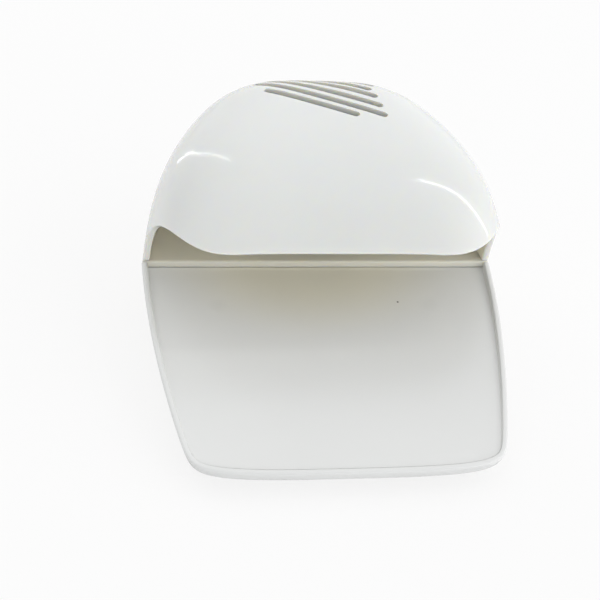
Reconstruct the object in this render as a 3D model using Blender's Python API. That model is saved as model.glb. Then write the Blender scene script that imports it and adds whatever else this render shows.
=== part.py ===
"""Small battery fan dryer for nail polish: a hood with a fan over a finger chamber, and a palm tray.

Metres, +Z up. The front, where the hand goes in, faces -Y, and +X is to the right.
The origin lies under the middle of the whole body, on the surface that it stands on.
"Back" is a distance behind the seam between tray and chamber floor; ahead of the seam it is negative.
"""

import math

import bpy
import bmesh
from mathutils import Matrix, Vector

# Driving dimensions
WIDTH = 0.116
TRAY_REACH = 0.0835
REAR_REACH = 0.060
HOOD_TOP = 0.0662
SEAM_HEIGHT = 0.020
FRONT_HEIGHT = 0.0080
LIP_HEIGHT = 0.0465
LIP_REACH = 0.030
WALL = 0.0022
FOOT_LIFT = 0.0010

SIDES = (("left", -1), ("right", 1))

# Clearances, the length by which a cut runs past what it cuts, and how deep joined shapes sink in
GAP = 0.0003
OVERRUN = 0.0020
SINK = 0.0006

# Where the seam lies, with the origin midway between front and rear
SEAM_Y = (TRAY_REACH - REAR_REACH) / 2

# Shape of the hood: where it is highest and widest, and how square its arch is at each end
PEAK_BACK = 0.4667 * REAR_REACH
WIDEST_AHEAD = 0.0086
SIDE_LEAN_SHARE = 0.03
FRONT_SQUARENESS = 5.3
REAR_SQUARENESS = 3.1
BROW_POWER = 2.8
TAIL_POWER = 2.4
LIP_SWEEP_SHARE = 1.15
LIP_POWER = 1.4
LIP_SETBACK = 0.0016
ARCH_STEPS = 30
LENGTH_STEPS = 17
STATION_POWER = 1.7
LIP_ROUNDS = 8

# Slanted air slots over the fan
SLOT_WIDTH = 0.0028
SLOT_DEPTH = 0.024
SLOT_END_SHARES = ((-0.302, 0.498, 0.156, 0.280),
                   (-0.349, 0.602, 0.314, 0.283),
                   (-0.310, 0.660, 0.305, 0.373),
                   (-0.308, 0.735, 0.290, 0.465),
                   (-0.314, 0.813, 0.269, 0.540),
                   (-0.157, 0.818, 0.301, 0.611))
SLOT_END_STEPS = 4

# Tray: rim, slab and outline
RIM_WIDTH = 0.0019
SLAB = 0.0022
TRAY_STEP = 0.0023
FRONT_STEP = 0.0006
SKIRT_SEAM_HEIGHT = 0.0134
SKIRT_FRONT_HEIGHT = 0.0050
SKIRT_DRAW = 0.0012
SEAM_NOSE = 0.0010
SEAM_LIP_REACH = 0.0026
SEAM_LIP = 0.0010
SEAM_LIP_INSET = 0.0060
TRAY_GAP = 0.0004
TAPER_SHARE = 0.197
TAPER_POWER = 1.85
CORNER_POWER = 40
FRONT_POWER = 0.31
OUTLINE_STEPS = 20
REAR_STEPS = 14

# Chamber floor
DECK = 0.0024
NOSE_ROUND = 0.0008
WIRE_HOLE_WIDTH = 0.010
WIRE_HOLE_DEPTH = 0.005
WIRE_HOLE_BACK = 0.8333 * REAR_REACH

# Lower housing
BASE_INSET = 0.0036
BASE_FRONT_INSET = 0.0060
BASE_FLOOR = 0.0020
HOUSING_DRAW = 0.0040
BASE_WALL = 0.0022
WEDGE_SEAM_HEIGHT = 0.0145
WEDGE_FRONT_HEIGHT = 0.0027

# Tray hinge
HINGE_AHEAD = 0.0040
HINGE_HEIGHT = 0.0115
PIN_RADIUS = 0.00125
KNUCKLE_RADIUS = 0.0028
KNUCKLE_LENGTH = 0.0060
KNUCKLE_LOW = 0.2586 * WIDTH
KNUCKLE_HIGH = KNUCKLE_LOW + KNUCKLE_LENGTH
EAR_THICKNESS = 0.0036
EAR_DEPTH = 0.0056

# Tray springs
SPRING_X = 0.2931 * WIDTH
SPRING_AHEAD = 0.0170
SPRING_RADIUS = 0.0029
SPRING_WIRE = 0.0003
SPRING_TURNS = 5
SPRING_SEAT_HEIGHT = 0.0050
SPRING_SEAT_RADIUS = 0.0040
SPIGOT_RADIUS = 0.0016
SPIGOT_LENGTH = 0.0030
CURL_POINTS = 8
SPRING_SLACK = 0.0005

# Push switch under the tray
SWITCH_AHEAD = 0.0280
SWITCH_LENGTH = 0.0128
SWITCH_DEPTH = 0.0058
SWITCH_HEIGHT = 0.0062
PLUNGER_WIDTH = 0.0026
PLUNGER_DEPTH = 0.0020
PLUNGER_RISE = 0.0013
PLUNGER_SUNK = 0.0018
SWITCH_TRAVEL = 0.00065
CRADLE_WALL = 0.0014
CRADLE_HEIGHT = 0.0035
PUSHER_RADIUS = 0.0018
TERMINAL_LENGTH = 0.0036
TERMINAL_WIDTH = 0.0022
TERMINAL_THICKNESS = 0.0005
TERMINAL_HEIGHT = 0.0056

# Cells, their bay and contacts
CELL_RADIUS = 0.0071
CELL_NUB_RADIUS = 0.0027
CELL_NUB = 0.0012
CELL_SHOULDER = 0.0010
CELL_PITCH = 0.0149
CELL_ROOM = 0.0076
FIRST_CELL_BACK = 0.0134
BAY_HALF = 0.2483 * WIDTH
CELL_LENGTH = 2 * BAY_HALF - CELL_ROOM
BAY_WALL = 0.0026
BAY_TOP = 0.0165
RAIL_HEIGHT = 0.0030
LEDGE_HEIGHT = 0.0043
CONTACT_THICKNESS = 0.0005
CONTACT_WIDTH = 0.0110
CONTACT_HEIGHT = 0.0100
CONTACT_SPRING_RADIUS = 0.0032
CONTACT_SPRING_TURNS = 3
TAB_HIGH = 0.0164
NOTCH_WIDTH = 0.0022
NOTCH_DEPTH = 0.0032

# Battery door
DOOR_THICKNESS = 0.0016
TONGUE_REACH = 0.0013
TONGUE_THICKNESS = 0.0006
TONGUE_HEIGHT = 0.0008
DOOR_RIB_LENGTH = 0.020
DOOR_RIB_WIDTH = 0.0012
DOOR_RIB_DEPTH = 0.0005
DOOR_RIB_PITCH = 0.0030
DOOR_RIBS = 4
DOOR_GRIP_BACK = 0.7000 * REAR_REACH

# Rubber feet
FOOT_RADIUS = 0.0045
FOOT_HEIGHT = 0.0016
FRONT_FOOT_X = 0.3103 * WIDTH
FRONT_FOOT_AHEAD = 0.7425 * TRAY_REACH
REAR_FOOT_X = 0.3103 * WIDTH
REAR_FOOT_BACK = 0.5167 * REAR_REACH

# Screws: pan heads, one bore size for all
SCREW_RADIUS = 0.0013
SCREW_BORE = 0.0016
SCREW_HEAD_RADIUS = 0.0024
SCREW_HEAD_HEIGHT = 0.0014
SLOT_CUT_WIDTH = 0.0007
SLOT_CUT_DEPTH = 0.0006
BOSS_RADIUS = 0.0032
BASE_POST_RADIUS = 0.0038
BASE_SCREW_LENGTH = 0.0085
LINER_SCREW_LENGTH = 0.0070
HOOD_SCREW_LENGTH = 0.0075
BRACKET_SCREW_LENGTH = 0.0050
MOTOR_SCREW_LENGTH = 0.0026
MOTOR_SCREW_RADIUS = 0.0008
MOTOR_SCREW_HEAD_RADIUS = 0.0015
MOTOR_SCREW_HEAD_HEIGHT = 0.0008

# Where the base screws stand: clear of the cells, the hinge and the feet
REAR_SCREW_X = 0.3500 * WIDTH
REAR_SCREW_BACK = 0.3500 * REAR_REACH
FRONT_SCREW_X = 0.3966 * WIDTH
FRONT_SCREW_BACK = 0.1000 * REAR_REACH
BASE_BOSS_TOP = 0.0078
HEAD_SEAT = 0.0030

# Hood screws, which come up through the chamber floor into bosses at the hood's rear
HOOD_SCREW_X = 0.1207 * WIDTH
HOOD_SCREW_BACK = 0.8700 * REAR_REACH
HOOD_BOSS_HEIGHT = 0.0127

# Chamber liner: ceiling, back wall and fan duct
CEILING_DEPTH = 0.0196
CEILING_HEIGHT = HOOD_TOP - CEILING_DEPTH
CEILING = 0.0018
CEILING_FRONT = 0.7000 * LIP_REACH
BACK_WALL_BACK = 0.7167 * REAR_REACH
BACK_WALL = 0.0016
DUCT_BACK = 7 / 24 * REAR_REACH
DUCT_RADIUS = 0.1940 * WIDTH
DUCT_WALL = 0.0018
DUCT_DROP = 0.0056
DUCT_RISE = 0.0041
DUCT_LOW = CEILING_HEIGHT - DUCT_DROP
DUCT_HIGH = CEILING_HEIGHT + DUCT_RISE
DUCT_LEDGE = 0.0007
DUCT_SIDES = 40
LUG_RADIUS = 0.0030
LUG_CLEARANCE = 0.0022
LUG_OFFSET = DUCT_RADIUS + DUCT_WALL + LUG_CLEARANCE
LINER_FRONT_SCREW_X = 0.2931 * WIDTH
LINER_FRONT_SCREW_BACK = -LIP_REACH / 3
LINER_REAR_SCREW_X = 0.2586 * WIDTH
LINER_REAR_SCREW_BACK = 0.5750 * REAR_REACH
LINER_GAP = 0.0008
CEILING_STEPS = 12
CEILING_POWER = 1.3
WALL_STEPS = 6

# Fan guard
GUARD_RADIUS = DUCT_RADIUS - GAP
GUARD_THICKNESS = 0.0014
GUARD_HUB = 0.0060
GUARD_RING = 0.0016
GUARD_SPOKE = 0.0016
GUARD_SPOKES = 8
GUARD_RING_MIDDLE = 0.6000 * GUARD_RADIUS

# Fan
TIP_CLEARANCE = 0.0008
FAN_RADIUS = DUCT_RADIUS - DUCT_LEDGE - TIP_CLEARANCE
FAN_HUB_RADIUS = 0.0048
GUARD_CLEARANCE = 0.0013
FAN_LOW = DUCT_LOW + GUARD_THICKNESS + GUARD_CLEARANCE
FAN_HEIGHT = 0.0054
BLADES = 6
BLADE_CHORD = 0.0115
BLADE_THICKNESS = 0.0010
BLADE_PITCH_ROOT = math.radians(42)
BLADE_PITCH_TIP = math.radians(24)

# Motor, standing shaft down on its bracket
SHAFT_RADIUS = 0.0010
SHAFT_LOW = FAN_LOW + GAP
BRACKET_LOW = DUCT_HIGH + GAP
BRACKET = 0.0016
BRACKET_HUB_RADIUS = 0.0125
BRACKET_ARM_WIDTH = 0.0060
BRACKET_END_STEPS = 6
BRACKET_HUB_STEPS = 6
CAN_RADIUS = 0.0122
CAN_HEIGHT = 0.0080
CAN_WALL = 0.0008
CAN_NECK_RADIUS = 0.0030
CAN_NECK = 0.0014
BUSH_RADIUS = 0.0019
BUSH_LENGTH = 0.0026
END_CAP_RADIUS = 0.0110
END_CAP_THICKNESS = 0.0012
MAGNET_THICKNESS = 0.0016
MAGNET_HEIGHT = 0.0048
ROTOR_RADIUS = 0.0088
ROTOR_HEIGHT = 0.0042
MOTOR_SCREW_OFFSET = 0.0075
MOTOR_TERMINAL_X = 0.0045
MOTOR_TERMINAL_BACK = 0.0050
MOTOR_TERMINAL_WIDTH = 0.0020
MOTOR_TERMINAL_RISE = 0.0009

# Leads
WIRE_RADIUS = 0.0006
WIRE_POINTS_APART = 0.0034
LANE = 0.0012
LEAD_DEPTH = 0.0026
LEAD_RISE = 0.0010
LEAD_X_SHARE = 0.30



def world(back):
    """World y of a distance behind the seam."""
    return SEAM_Y + back


# Heights that follow from the driving dimensions
HOOD_FOOT = SEAM_HEIGHT + GAP
DECK_LOW = SEAM_HEIGHT - DECK
BASE_TOP = DECK_LOW - GAP
BASE_LOW = FOOT_LIFT
FLOOR_TOP = BASE_LOW + BASE_FLOOR
TRAY_BACK = -SEAM_NOSE - TRAY_GAP
RIM_SEAM_HEIGHT = SEAM_HEIGHT - TRAY_GAP
DUCT_Y = world(DUCT_BACK)
CEILING_TOP = CEILING_HEIGHT + CEILING
CELL_HEIGHT = BASE_LOW + DOOR_THICKNESS + GAP + CELL_RADIUS
CAN_LOW = BRACKET_LOW + BRACKET + GAP
CAN_TOP = CAN_LOW + CAN_HEIGHT


# Surfaces

def lean(height):
    """The hood's sides draw in slightly as they rise."""
    return 1 - SIDE_LEAN_SHARE * max(0, height - SEAM_HEIGHT) / (HOOD_TOP - SEAM_HEIGHT)


def top_height(back, inset):
    """Height of the hood's crest line, or of one inset under it."""
    if back < PEAK_BACK:
        run = PEAK_BACK + LIP_REACH
        share = (PEAK_BACK - back) / run
        fall = (HOOD_TOP - LIP_HEIGHT) * share ** BROW_POWER
        slope = (HOOD_TOP - LIP_HEIGHT) * BROW_POWER / run * share ** (BROW_POWER - 1)
        return HOOD_TOP - fall - inset * math.hypot(1, slope)
    share = (back - PEAK_BACK) / (REAR_REACH - inset - PEAK_BACK)
    return (HOOD_TOP - inset) * max(0, 1 - share ** TAIL_POWER) ** (1 / TAIL_POWER)


def half_width(back, inset):
    """Half the body's width, elliptical behind its widest place."""
    half = WIDTH / 2 - inset
    if back < -WIDEST_AHEAD:
        return half
    share = (back + WIDEST_AHEAD) / (REAR_REACH - inset + WIDEST_AHEAD)
    return half * math.sqrt(max(0, 1 - share ** 2))


def squareness(back):
    """Power of the arch's superellipse, which is squarer in front."""
    share = min(1, max(0, (back + LIP_REACH) / (REAR_REACH + LIP_REACH)))
    return FRONT_SQUARENESS + (REAR_SQUARENESS - FRONT_SQUARENESS) * share


def side_at(back, height, inset):
    """Half the hood's width at a height, on its surface or inset under it."""
    power = squareness(back)
    top = top_height(back, inset)
    if height >= top:
        return 0
    return half_width(back, inset) * (1 - (height / top) ** power) ** (1 / power) * lean(height)


def arch_angle(back, turn, inset):
    """Angle of a point on the arch; turn runs from 0 at the right foot to 1 at the left foot."""
    power = squareness(back)
    foot_share = min(1, HOOD_FOOT / max(HOOD_FOOT, top_height(back, inset)))
    start = math.atan2(foot_share, (1 - foot_share ** power) ** (1 / power))
    return start + (math.pi - 2 * start) * turn


def arch_point(back, turn, inset):
    """Point on the hood's arch at one station."""
    power = squareness(back)
    angle = arch_angle(back, turn, inset)
    reach = (abs(math.cos(angle)) ** power + abs(math.sin(angle)) ** power) ** (-1 / power)
    height = top_height(back, inset) * reach * math.sin(angle)
    x = half_width(back, inset) * reach * math.cos(angle) * lean(height)
    return Vector((x, world(back), height))


def lip_back(turn):
    """Where the mouth's edge lies: at the seam at the foot, swept forward to the visor's lip."""
    back = 0
    for _ in range(LIP_ROUNDS):
        angle = arch_angle(back, turn, 0)
        slope = abs(math.tan(angle)) ** (squareness(back) / 2)
        sweep = min(math.pi / 2, LIP_SWEEP_SHARE * math.atan(slope))
        back = -LIP_REACH * math.sin(sweep) ** LIP_POWER
    return back


def tail_back(inset):
    """Where the crest line comes down to the hood's foot at the rear."""
    share = (1 - (HOOD_FOOT / (HOOD_TOP - inset)) ** TAIL_POWER) ** (1 / TAIL_POWER)
    return PEAK_BACK + (REAR_REACH - inset - PEAK_BACK) * share


def rear_outline(inset, start_back):
    """Outline of the body behind the seam, from the right side round the rear to the left side."""
    half = WIDTH / 2 - inset
    reach = REAR_REACH - inset + WIDEST_AHEAD
    start = math.asin((start_back + WIDEST_AHEAD) / reach)
    right = []
    for step in range(REAR_STEPS + 1):
        angle = start + (math.pi / 2 - start) * step / REAR_STEPS
        right.append((half * math.cos(angle), world(reach * math.sin(angle) - WIDEST_AHEAD)))
    left = [(-x, y) for x, y in reversed(right[:-1])]
    return right + left


def tray_outline(inset, front_inset, start_back):
    """Outline of the tray ahead of the seam, from the left side round the front to the right side."""
    reach = TRAY_REACH - front_inset
    left = []
    for step in range(OUTLINE_STEPS + 1):
        ease = 1 - (1 - step / OUTLINE_STEPS) ** 3
        ahead = -start_back + (reach + start_back) * ease
        share = max(0, ahead) / reach
        taper = 1 - TAPER_SHARE * (max(0, ahead) / TRAY_REACH) ** TAPER_POWER
        corner = max(0, 1 - share ** CORNER_POWER) ** FRONT_POWER
        left.append((-(WIDTH / 2 * taper - inset) * corner, world(-ahead)))
    right = [(-x, y) for x, y in reversed(left[:-1])]
    return left + right


def rim_height(y):
    """Height of the tray's rim, falling from the seam to the front."""
    share = (world(TRAY_BACK) - y) / (TRAY_REACH + TRAY_BACK)
    return RIM_SEAM_HEIGHT + (FRONT_HEIGHT - RIM_SEAM_HEIGHT) * share


def tray_height(y):
    """Height of the tray's palm surface, inside the rim."""
    share = (world(TRAY_BACK) - y) / (TRAY_REACH + TRAY_BACK)
    step = TRAY_STEP + (FRONT_STEP - TRAY_STEP) * share
    return rim_height(y) - step


def tray_low(y):
    """Height of the tray's underside."""
    return tray_height(y) - SLAB


def skirt_low(y):
    """Lower edge of the tray's skirt, which hides the gap over the lower housing's wall."""
    share = (world(TRAY_BACK) - y) / (TRAY_REACH + TRAY_BACK)
    return SKIRT_SEAM_HEIGHT + (SKIRT_FRONT_HEIGHT - SKIRT_SEAM_HEIGHT) * share


def wedge_height(y):
    """Top of the lower housing's wall under the tray, low enough for the tray to press down."""
    share = (world(TRAY_BACK) - y) / (TRAY_REACH + TRAY_BACK)
    return WEDGE_SEAM_HEIGHT + (WEDGE_FRONT_HEIGHT - WEDGE_SEAM_HEIGHT) * share


# Making and joining meshes

def clear_scene():
    for item in list(bpy.data.objects):
        bpy.data.objects.remove(item, do_unlink=True)


def make_material(name, colour, roughness, metallic=0.0):
    made = bpy.data.materials.new(name)
    made.use_nodes = True
    shader = made.node_tree.nodes["Principled BSDF"]
    shader.inputs["Base Color"].default_value = (*colour, 1)
    shader.inputs["Roughness"].default_value = roughness
    shader.inputs["Metallic"].default_value = metallic
    return made


def add_object(name, mesh, material=None):
    made = bpy.data.objects.new(name, mesh)
    bpy.context.collection.objects.link(made)
    if material:
        mesh.materials.clear()
        mesh.materials.append(material)
    return made


def mesh_of(bm, name):
    """Mesh of a bmesh whose faces are turned outwards."""
    bmesh.ops.recalc_face_normals(bm, faces=bm.faces)
    mesh = bpy.data.meshes.new(name)
    bm.to_mesh(mesh)
    bm.free()
    return mesh


def prism(name, outline, low, high):
    """Upright prism on an outline; low and high are heights, or functions of y that are linear."""
    bm = bmesh.new()
    low_at = low if callable(low) else lambda y: low
    high_at = high if callable(high) else lambda y: high
    under = [bm.verts.new((x, y, low_at(y))) for x, y in outline]
    over = [bm.verts.new((x, y, high_at(y))) for x, y in outline]
    bm.faces.new(reversed(under))
    bm.faces.new(over)
    for index in range(len(outline)):
        following = (index + 1) % len(outline)
        bm.faces.new((under[index], under[following], over[following], over[index]))
    return add_object(name, mesh_of(bm, name))


def tapered(name, low_outline, high_outline, low, high):
    """Solid between a lower and an upper outline of as many points, with heights as for a prism."""
    bm = bmesh.new()
    low_at = low if callable(low) else lambda y: low
    high_at = high if callable(high) else lambda y: high
    under = [bm.verts.new((x, y, low_at(y))) for x, y in low_outline]
    over = [bm.verts.new((x, y, high_at(y))) for x, y in high_outline]
    bm.faces.new(reversed(under))
    bm.faces.new(over)
    for index in range(len(under)):
        following = (index + 1) % len(under)
        bm.faces.new((under[index], under[following], over[following]))
        bm.faces.new((under[index], over[following], over[index]))
    return add_object(name, mesh_of(bm, name))


def box(name, low, high):
    """Box between two corners."""
    outline = [(low[0], low[1]), (high[0], low[1]), (high[0], high[1]), (low[0], high[1])]
    return prism(name, outline, low[2], high[2])


def turned(name, profile, segments, centre=(0, 0, 0), closed=False):
    """Solid turned about an upright axis from (radius, height) points; its two ends are flat discs.

    A closed profile runs round a hole in the middle, and its last point joins its first.
    """
    bm = bmesh.new()
    turns = [2 * math.pi * step / segments for step in range(segments)]
    rings = []
    for radius, height in profile:
        rings.append([bm.verts.new((radius * math.cos(turn), radius * math.sin(turn), height)) for turn in turns])
    if closed:
        pairs = list(zip(rings, rings[1:] + rings[:1]))
    else:
        pairs = list(zip(rings[:-1], rings[1:]))
        bm.faces.new(rings[0])
        bm.faces.new(reversed(rings[-1]))
    for ring, other in pairs:
        for step in range(segments):
            following = (step + 1) % segments
            bm.faces.new((ring[step], ring[following], other[following], other[step]))
    mesh = mesh_of(bm, name)
    mesh.transform(translation(centre))
    return add_object(name, mesh)


def translation(offset):
    return Matrix.Translation(Vector(offset))


def rod(name, radius, start, end, segments=14):
    """Round rod between two points."""
    start = Vector(start)
    way = Vector(end) - start
    made = turned(name, [(radius, 0), (radius, way.length)], segments)
    turn = Vector((0, 0, 1)).rotation_difference(way).to_matrix().to_4x4()
    made.data.transform(translation(start) @ turn)
    return made


def combine(target, other, operation):
    """Boolean of two solids, applied, after which the second one is removed."""
    modifier = target.modifiers.new(operation, "BOOLEAN")
    modifier.operation = operation
    modifier.solver = "EXACT"
    modifier.object = other
    graph = bpy.context.evaluated_depsgraph_get()
    result = bpy.data.meshes.new_from_object(target.evaluated_get(graph))
    target.modifiers.clear()
    old = target.data
    target.data = result
    result.name = target.name
    bpy.data.meshes.remove(old)
    bpy.data.objects.remove(other, do_unlink=True)


def join(target, other):
    combine(target, other, "UNION")


def cut(target, other):
    combine(target, other, "DIFFERENCE")


def finish(made, material, origin=None, smooth_below=math.radians(32)):
    """Give a piece its material, its origin and smooth shading on its round faces."""
    made.data.materials.clear()
    made.data.materials.append(material)
    if origin is not None:
        made.data.transform(translation(-Vector(origin)))
        made.location = origin
    made.data.shade_smooth()
    made.data.set_sharp_from_angle(angle=smooth_below)
    made.data.update()
    return made


# Hood

def hood_surface(bm, inset, setback):
    """Rows of vertices over the hood, from the mouth's edge back to one vertex at the tail."""
    end = tail_back(inset)
    rows = []
    for station in range(LENGTH_STEPS):
        ease = 1 - (1 - station / LENGTH_STEPS) ** STATION_POWER
        row = []
        for step in range(ARCH_STEPS + 1):
            turn = step / ARCH_STEPS
            edge = lip_back(turn)
            edge -= setback * edge / LIP_REACH
            row.append(bm.verts.new(arch_point(edge + (end - edge) * ease, turn, inset)))
        rows.append(row)
    tail = bm.verts.new((0, world(end), HOOD_FOOT))
    return rows, tail


def cover(bm, rows, tail):
    """Faces over the rows of one hood surface."""
    for row, following in zip(rows[:-1], rows[1:]):
        for step in range(ARCH_STEPS):
            bm.faces.new((row[step], row[step + 1], following[step + 1], following[step]))
    for step in range(ARCH_STEPS):
        bm.faces.new((rows[-1][step], rows[-1][step + 1], tail))


def hood_core():
    """Solid that fills the hood to the middle of its wall, which trims the posts to the hood's shape."""
    bm = bmesh.new()
    rows, tail = hood_surface(bm, WALL / 2, LIP_SETBACK / 2)
    cover(bm, rows, tail)
    middle = bm.verts.new((0, world(0), HOOD_FOOT - SINK))
    for step in range(ARCH_STEPS):
        bm.faces.new((rows[0][step], rows[0][step + 1], middle))
    right = [row[0] for row in rows] + [tail]
    left = [row[-1] for row in rows] + [tail]
    for feet in (right, left):
        for foot, following in zip(feet[:-1], feet[1:]):
            bm.faces.new((foot, following, middle))
    return add_object("core", mesh_of(bm, "core"))


def boss(name, x, back, low, high, radius=BOSS_RADIUS):
    return rod(name, radius, (x, world(back), low), (x, world(back), high))


def slot_cutter(name, ends):
    """Upright round-ended bar that cuts one slanted slot between two places in plan."""
    start = Vector((ends[0] * WIDTH / 2, world(ends[1] * REAR_REACH)))
    end = Vector((ends[2] * WIDTH / 2, world(ends[3] * REAR_REACH)))
    slant = math.atan2(end.y - start.y, end.x - start.x)
    outline = []
    for tip, facing in ((end, 0), (start, math.pi)):
        for step in range(SLOT_END_STEPS + 1):
            turn = slant + facing - math.pi / 2 + math.pi * step / SLOT_END_STEPS
            point = tip + SLOT_WIDTH / 2 * Vector((math.cos(turn), math.sin(turn)))
            outline.append((point.x, point.y))
    return prism(name, outline, HOOD_TOP - SLOT_DEPTH, HOOD_TOP + OVERRUN)


def liner_screw_places():
    return ((-LINER_FRONT_SCREW_X, LINER_FRONT_SCREW_BACK), (LINER_FRONT_SCREW_X, LINER_FRONT_SCREW_BACK),
            (-LINER_REAR_SCREW_X, LINER_REAR_SCREW_BACK), (LINER_REAR_SCREW_X, LINER_REAR_SCREW_BACK))


def make_hood(material):
    """Hood shell: visor, crown and side walls in one moulding, with slots and screw bosses."""
    bm = bmesh.new()
    outer, outer_tail = hood_surface(bm, 0, 0)
    inner, inner_tail = hood_surface(bm, WALL, LIP_SETBACK)
    cover(bm, outer, outer_tail)
    cover(bm, inner, inner_tail)
    for step in range(ARCH_STEPS):
        bm.faces.new((outer[0][step], outer[0][step + 1], inner[0][step + 1], inner[0][step]))
    for side in (0, -1):
        outer_foot = [row[side] for row in outer] + [outer_tail]
        inner_foot = [row[side] for row in inner] + [inner_tail]
        for index in range(LENGTH_STEPS):
            bm.faces.new((outer_foot[index], outer_foot[index + 1], inner_foot[index + 1], inner_foot[index]))
    hood = add_object("hood_shell", mesh_of(bm, "hood_shell"))
    posts = boss("posts", HOOD_SCREW_X, HOOD_SCREW_BACK, HOOD_FOOT, HOOD_FOOT + HOOD_BOSS_HEIGHT)
    join(posts, boss("post", -HOOD_SCREW_X, HOOD_SCREW_BACK, HOOD_FOOT, HOOD_FOOT + HOOD_BOSS_HEIGHT))
    for x, back in liner_screw_places():
        join(posts, boss("post", x, back, CEILING_TOP + GAP, HOOD_TOP + OVERRUN))
    combine(posts, hood_core(), "INTERSECT")
    join(hood, posts)
    for x, back in liner_screw_places():
        cut(hood, boss("bore", x, back, CEILING_TOP, CEILING_TOP + LINER_SCREW_LENGTH, SCREW_BORE))
    for x in (-HOOD_SCREW_X, HOOD_SCREW_X):
        cut(hood, boss("bore", x, HOOD_SCREW_BACK, HOOD_FOOT - OVERRUN, HOOD_FOOT + HOOD_SCREW_LENGTH,
                       SCREW_BORE))
    for ends in SLOT_END_SHARES:
        cut(hood, slot_cutter("slot", ends))
    return finish(hood, material)


# Chamber floor and lower housing

def base_screw_places():
    return ((-FRONT_SCREW_X, FRONT_SCREW_BACK), (FRONT_SCREW_X, FRONT_SCREW_BACK),
            (-REAR_SCREW_X, REAR_SCREW_BACK), (REAR_SCREW_X, REAR_SCREW_BACK))


def make_chamber_floor(material):
    """Deck behind the seam, with hanging bosses for the base screws."""
    outline = rear_outline(0, -SEAM_NOSE)
    floor = prism("chamber_floor", outline, DECK_LOW, SEAM_HEIGHT)
    nose_y = world(-SEAM_NOSE)
    half = WIDTH / 2 + OVERRUN
    profile = [(nose_y - OVERRUN, SEAM_HEIGHT - NOSE_ROUND), (nose_y, SEAM_HEIGHT - NOSE_ROUND)]
    for step in range(1, 5):
        turn = math.pi / 2 * step / 4
        profile.append((nose_y + NOSE_ROUND * (1 - math.cos(turn)),
                        SEAM_HEIGHT - NOSE_ROUND * (1 - math.sin(turn))))
    profile += [(nose_y + NOSE_ROUND, SEAM_HEIGHT + OVERRUN), (nose_y - OVERRUN, SEAM_HEIGHT + OVERRUN)]
    cut(floor, bar_along_x("nose", profile, -half, half))
    for x, back in base_screw_places():
        join(floor, boss("post", x, back, BASE_BOSS_TOP + GAP, DECK_LOW + DECK / 2))
        cut(floor, boss("bore", x, back, BASE_BOSS_TOP, BASE_BOSS_TOP + GAP + BASE_SCREW_LENGTH, SCREW_BORE))
    for x in (-HOOD_SCREW_X, HOOD_SCREW_X):
        cut(floor, boss("bore", x, HOOD_SCREW_BACK, DECK_LOW - OVERRUN, SEAM_HEIGHT + OVERRUN, SCREW_BORE))
    hole_y = world(WIRE_HOLE_BACK)
    cut(floor, box("hole", (-WIRE_HOLE_WIDTH / 2, hole_y - WIRE_HOLE_DEPTH / 2, DECK_LOW - OVERRUN),
                   (WIRE_HOLE_WIDTH / 2, hole_y + WIRE_HOLE_DEPTH / 2, SEAM_HEIGHT + OVERRUN)))
    return finish(floor, material)


def bar_along_x(name, profile, left, right):
    """Bar of constant section along X, from a profile of (y, z) points."""
    bm = bmesh.new()
    ends = []
    for x in (left, right):
        ends.append([bm.verts.new((x, y, z)) for y, z in profile])
    bm.faces.new(ends[0])
    bm.faces.new(reversed(ends[1]))
    for index in range(len(profile)):
        following = (index + 1) % len(profile)
        bm.faces.new((ends[0][index], ends[0][following], ends[1][following], ends[1][index]))
    return add_object(name, mesh_of(bm, name))


def base_front_outline(inset, start_back):
    return tray_outline(BASE_INSET + inset, BASE_FRONT_INSET + inset, start_back)


def draw_at(height):
    """How far the lower housing's sides are drawn in at a height."""
    return HOUSING_DRAW * (BASE_TOP - height) / (BASE_TOP - BASE_LOW)


def make_bottom_shell(material):
    """Lower housing: full width under the chamber floor, drawn in towards its foot and under the tray."""
    shell = tapered("bottom_shell", rear_outline(HOUSING_DRAW, -SEAM_NOSE), rear_outline(0, -SEAM_NOSE), BASE_LOW,
                    BASE_TOP)
    join(shell, prism("front", base_front_outline(0, BASE_WALL), BASE_LOW, wedge_height))
    low_hollow = rear_outline(BASE_WALL + draw_at(FLOOR_TOP), -SEAM_NOSE + BASE_WALL)
    high_hollow = rear_outline(BASE_WALL + draw_at(BASE_TOP + OVERRUN), -SEAM_NOSE + BASE_WALL)
    cut(shell, tapered("hollow", low_hollow, high_hollow, FLOOR_TOP, BASE_TOP + OVERRUN))
    cut(shell, prism("hollow", base_front_outline(BASE_WALL, BASE_WALL + OVERRUN), FLOOR_TOP,
                     BASE_TOP + OVERRUN))
    add_bay(shell)
    add_hinge_ears(shell)
    add_spring_seats(shell)
    add_switch_cradle(shell)
    recess = SCREW_HEAD_RADIUS + GAP
    stepped = [(recess, BASE_LOW - OVERRUN), (recess, BASE_BOSS_TOP - HEAD_SEAT),
               (SCREW_BORE, BASE_BOSS_TOP - HEAD_SEAT), (SCREW_BORE, BASE_BOSS_TOP + OVERRUN)]
    for x, back in base_screw_places():
        join(shell, boss("post", x, back, BASE_LOW + SINK, BASE_BOSS_TOP, BASE_POST_RADIUS))
        cut(shell, turned("bore", stepped, 14, (x, world(back), 0)))
    for place in foot_places():
        cut(shell, rod("pocket", FOOT_RADIUS + GAP, (*place, BASE_LOW - OVERRUN), (*place, FOOT_HEIGHT + GAP),
                       20))
    return finish(shell, material)


def foot_places():
    """Centres of the feet: front left, front right, rear left, rear right."""
    front = world(-FRONT_FOOT_AHEAD)
    rear = world(REAR_FOOT_BACK)
    return ((-FRONT_FOOT_X, front), (FRONT_FOOT_X, front), (-REAR_FOOT_X, rear), (REAR_FOOT_X, rear))


def bay_front():
    return FIRST_CELL_BACK - CELL_RADIUS - GAP


def bay_rear():
    return FIRST_CELL_BACK + CELL_PITCH + CELL_RADIUS + GAP


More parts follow.
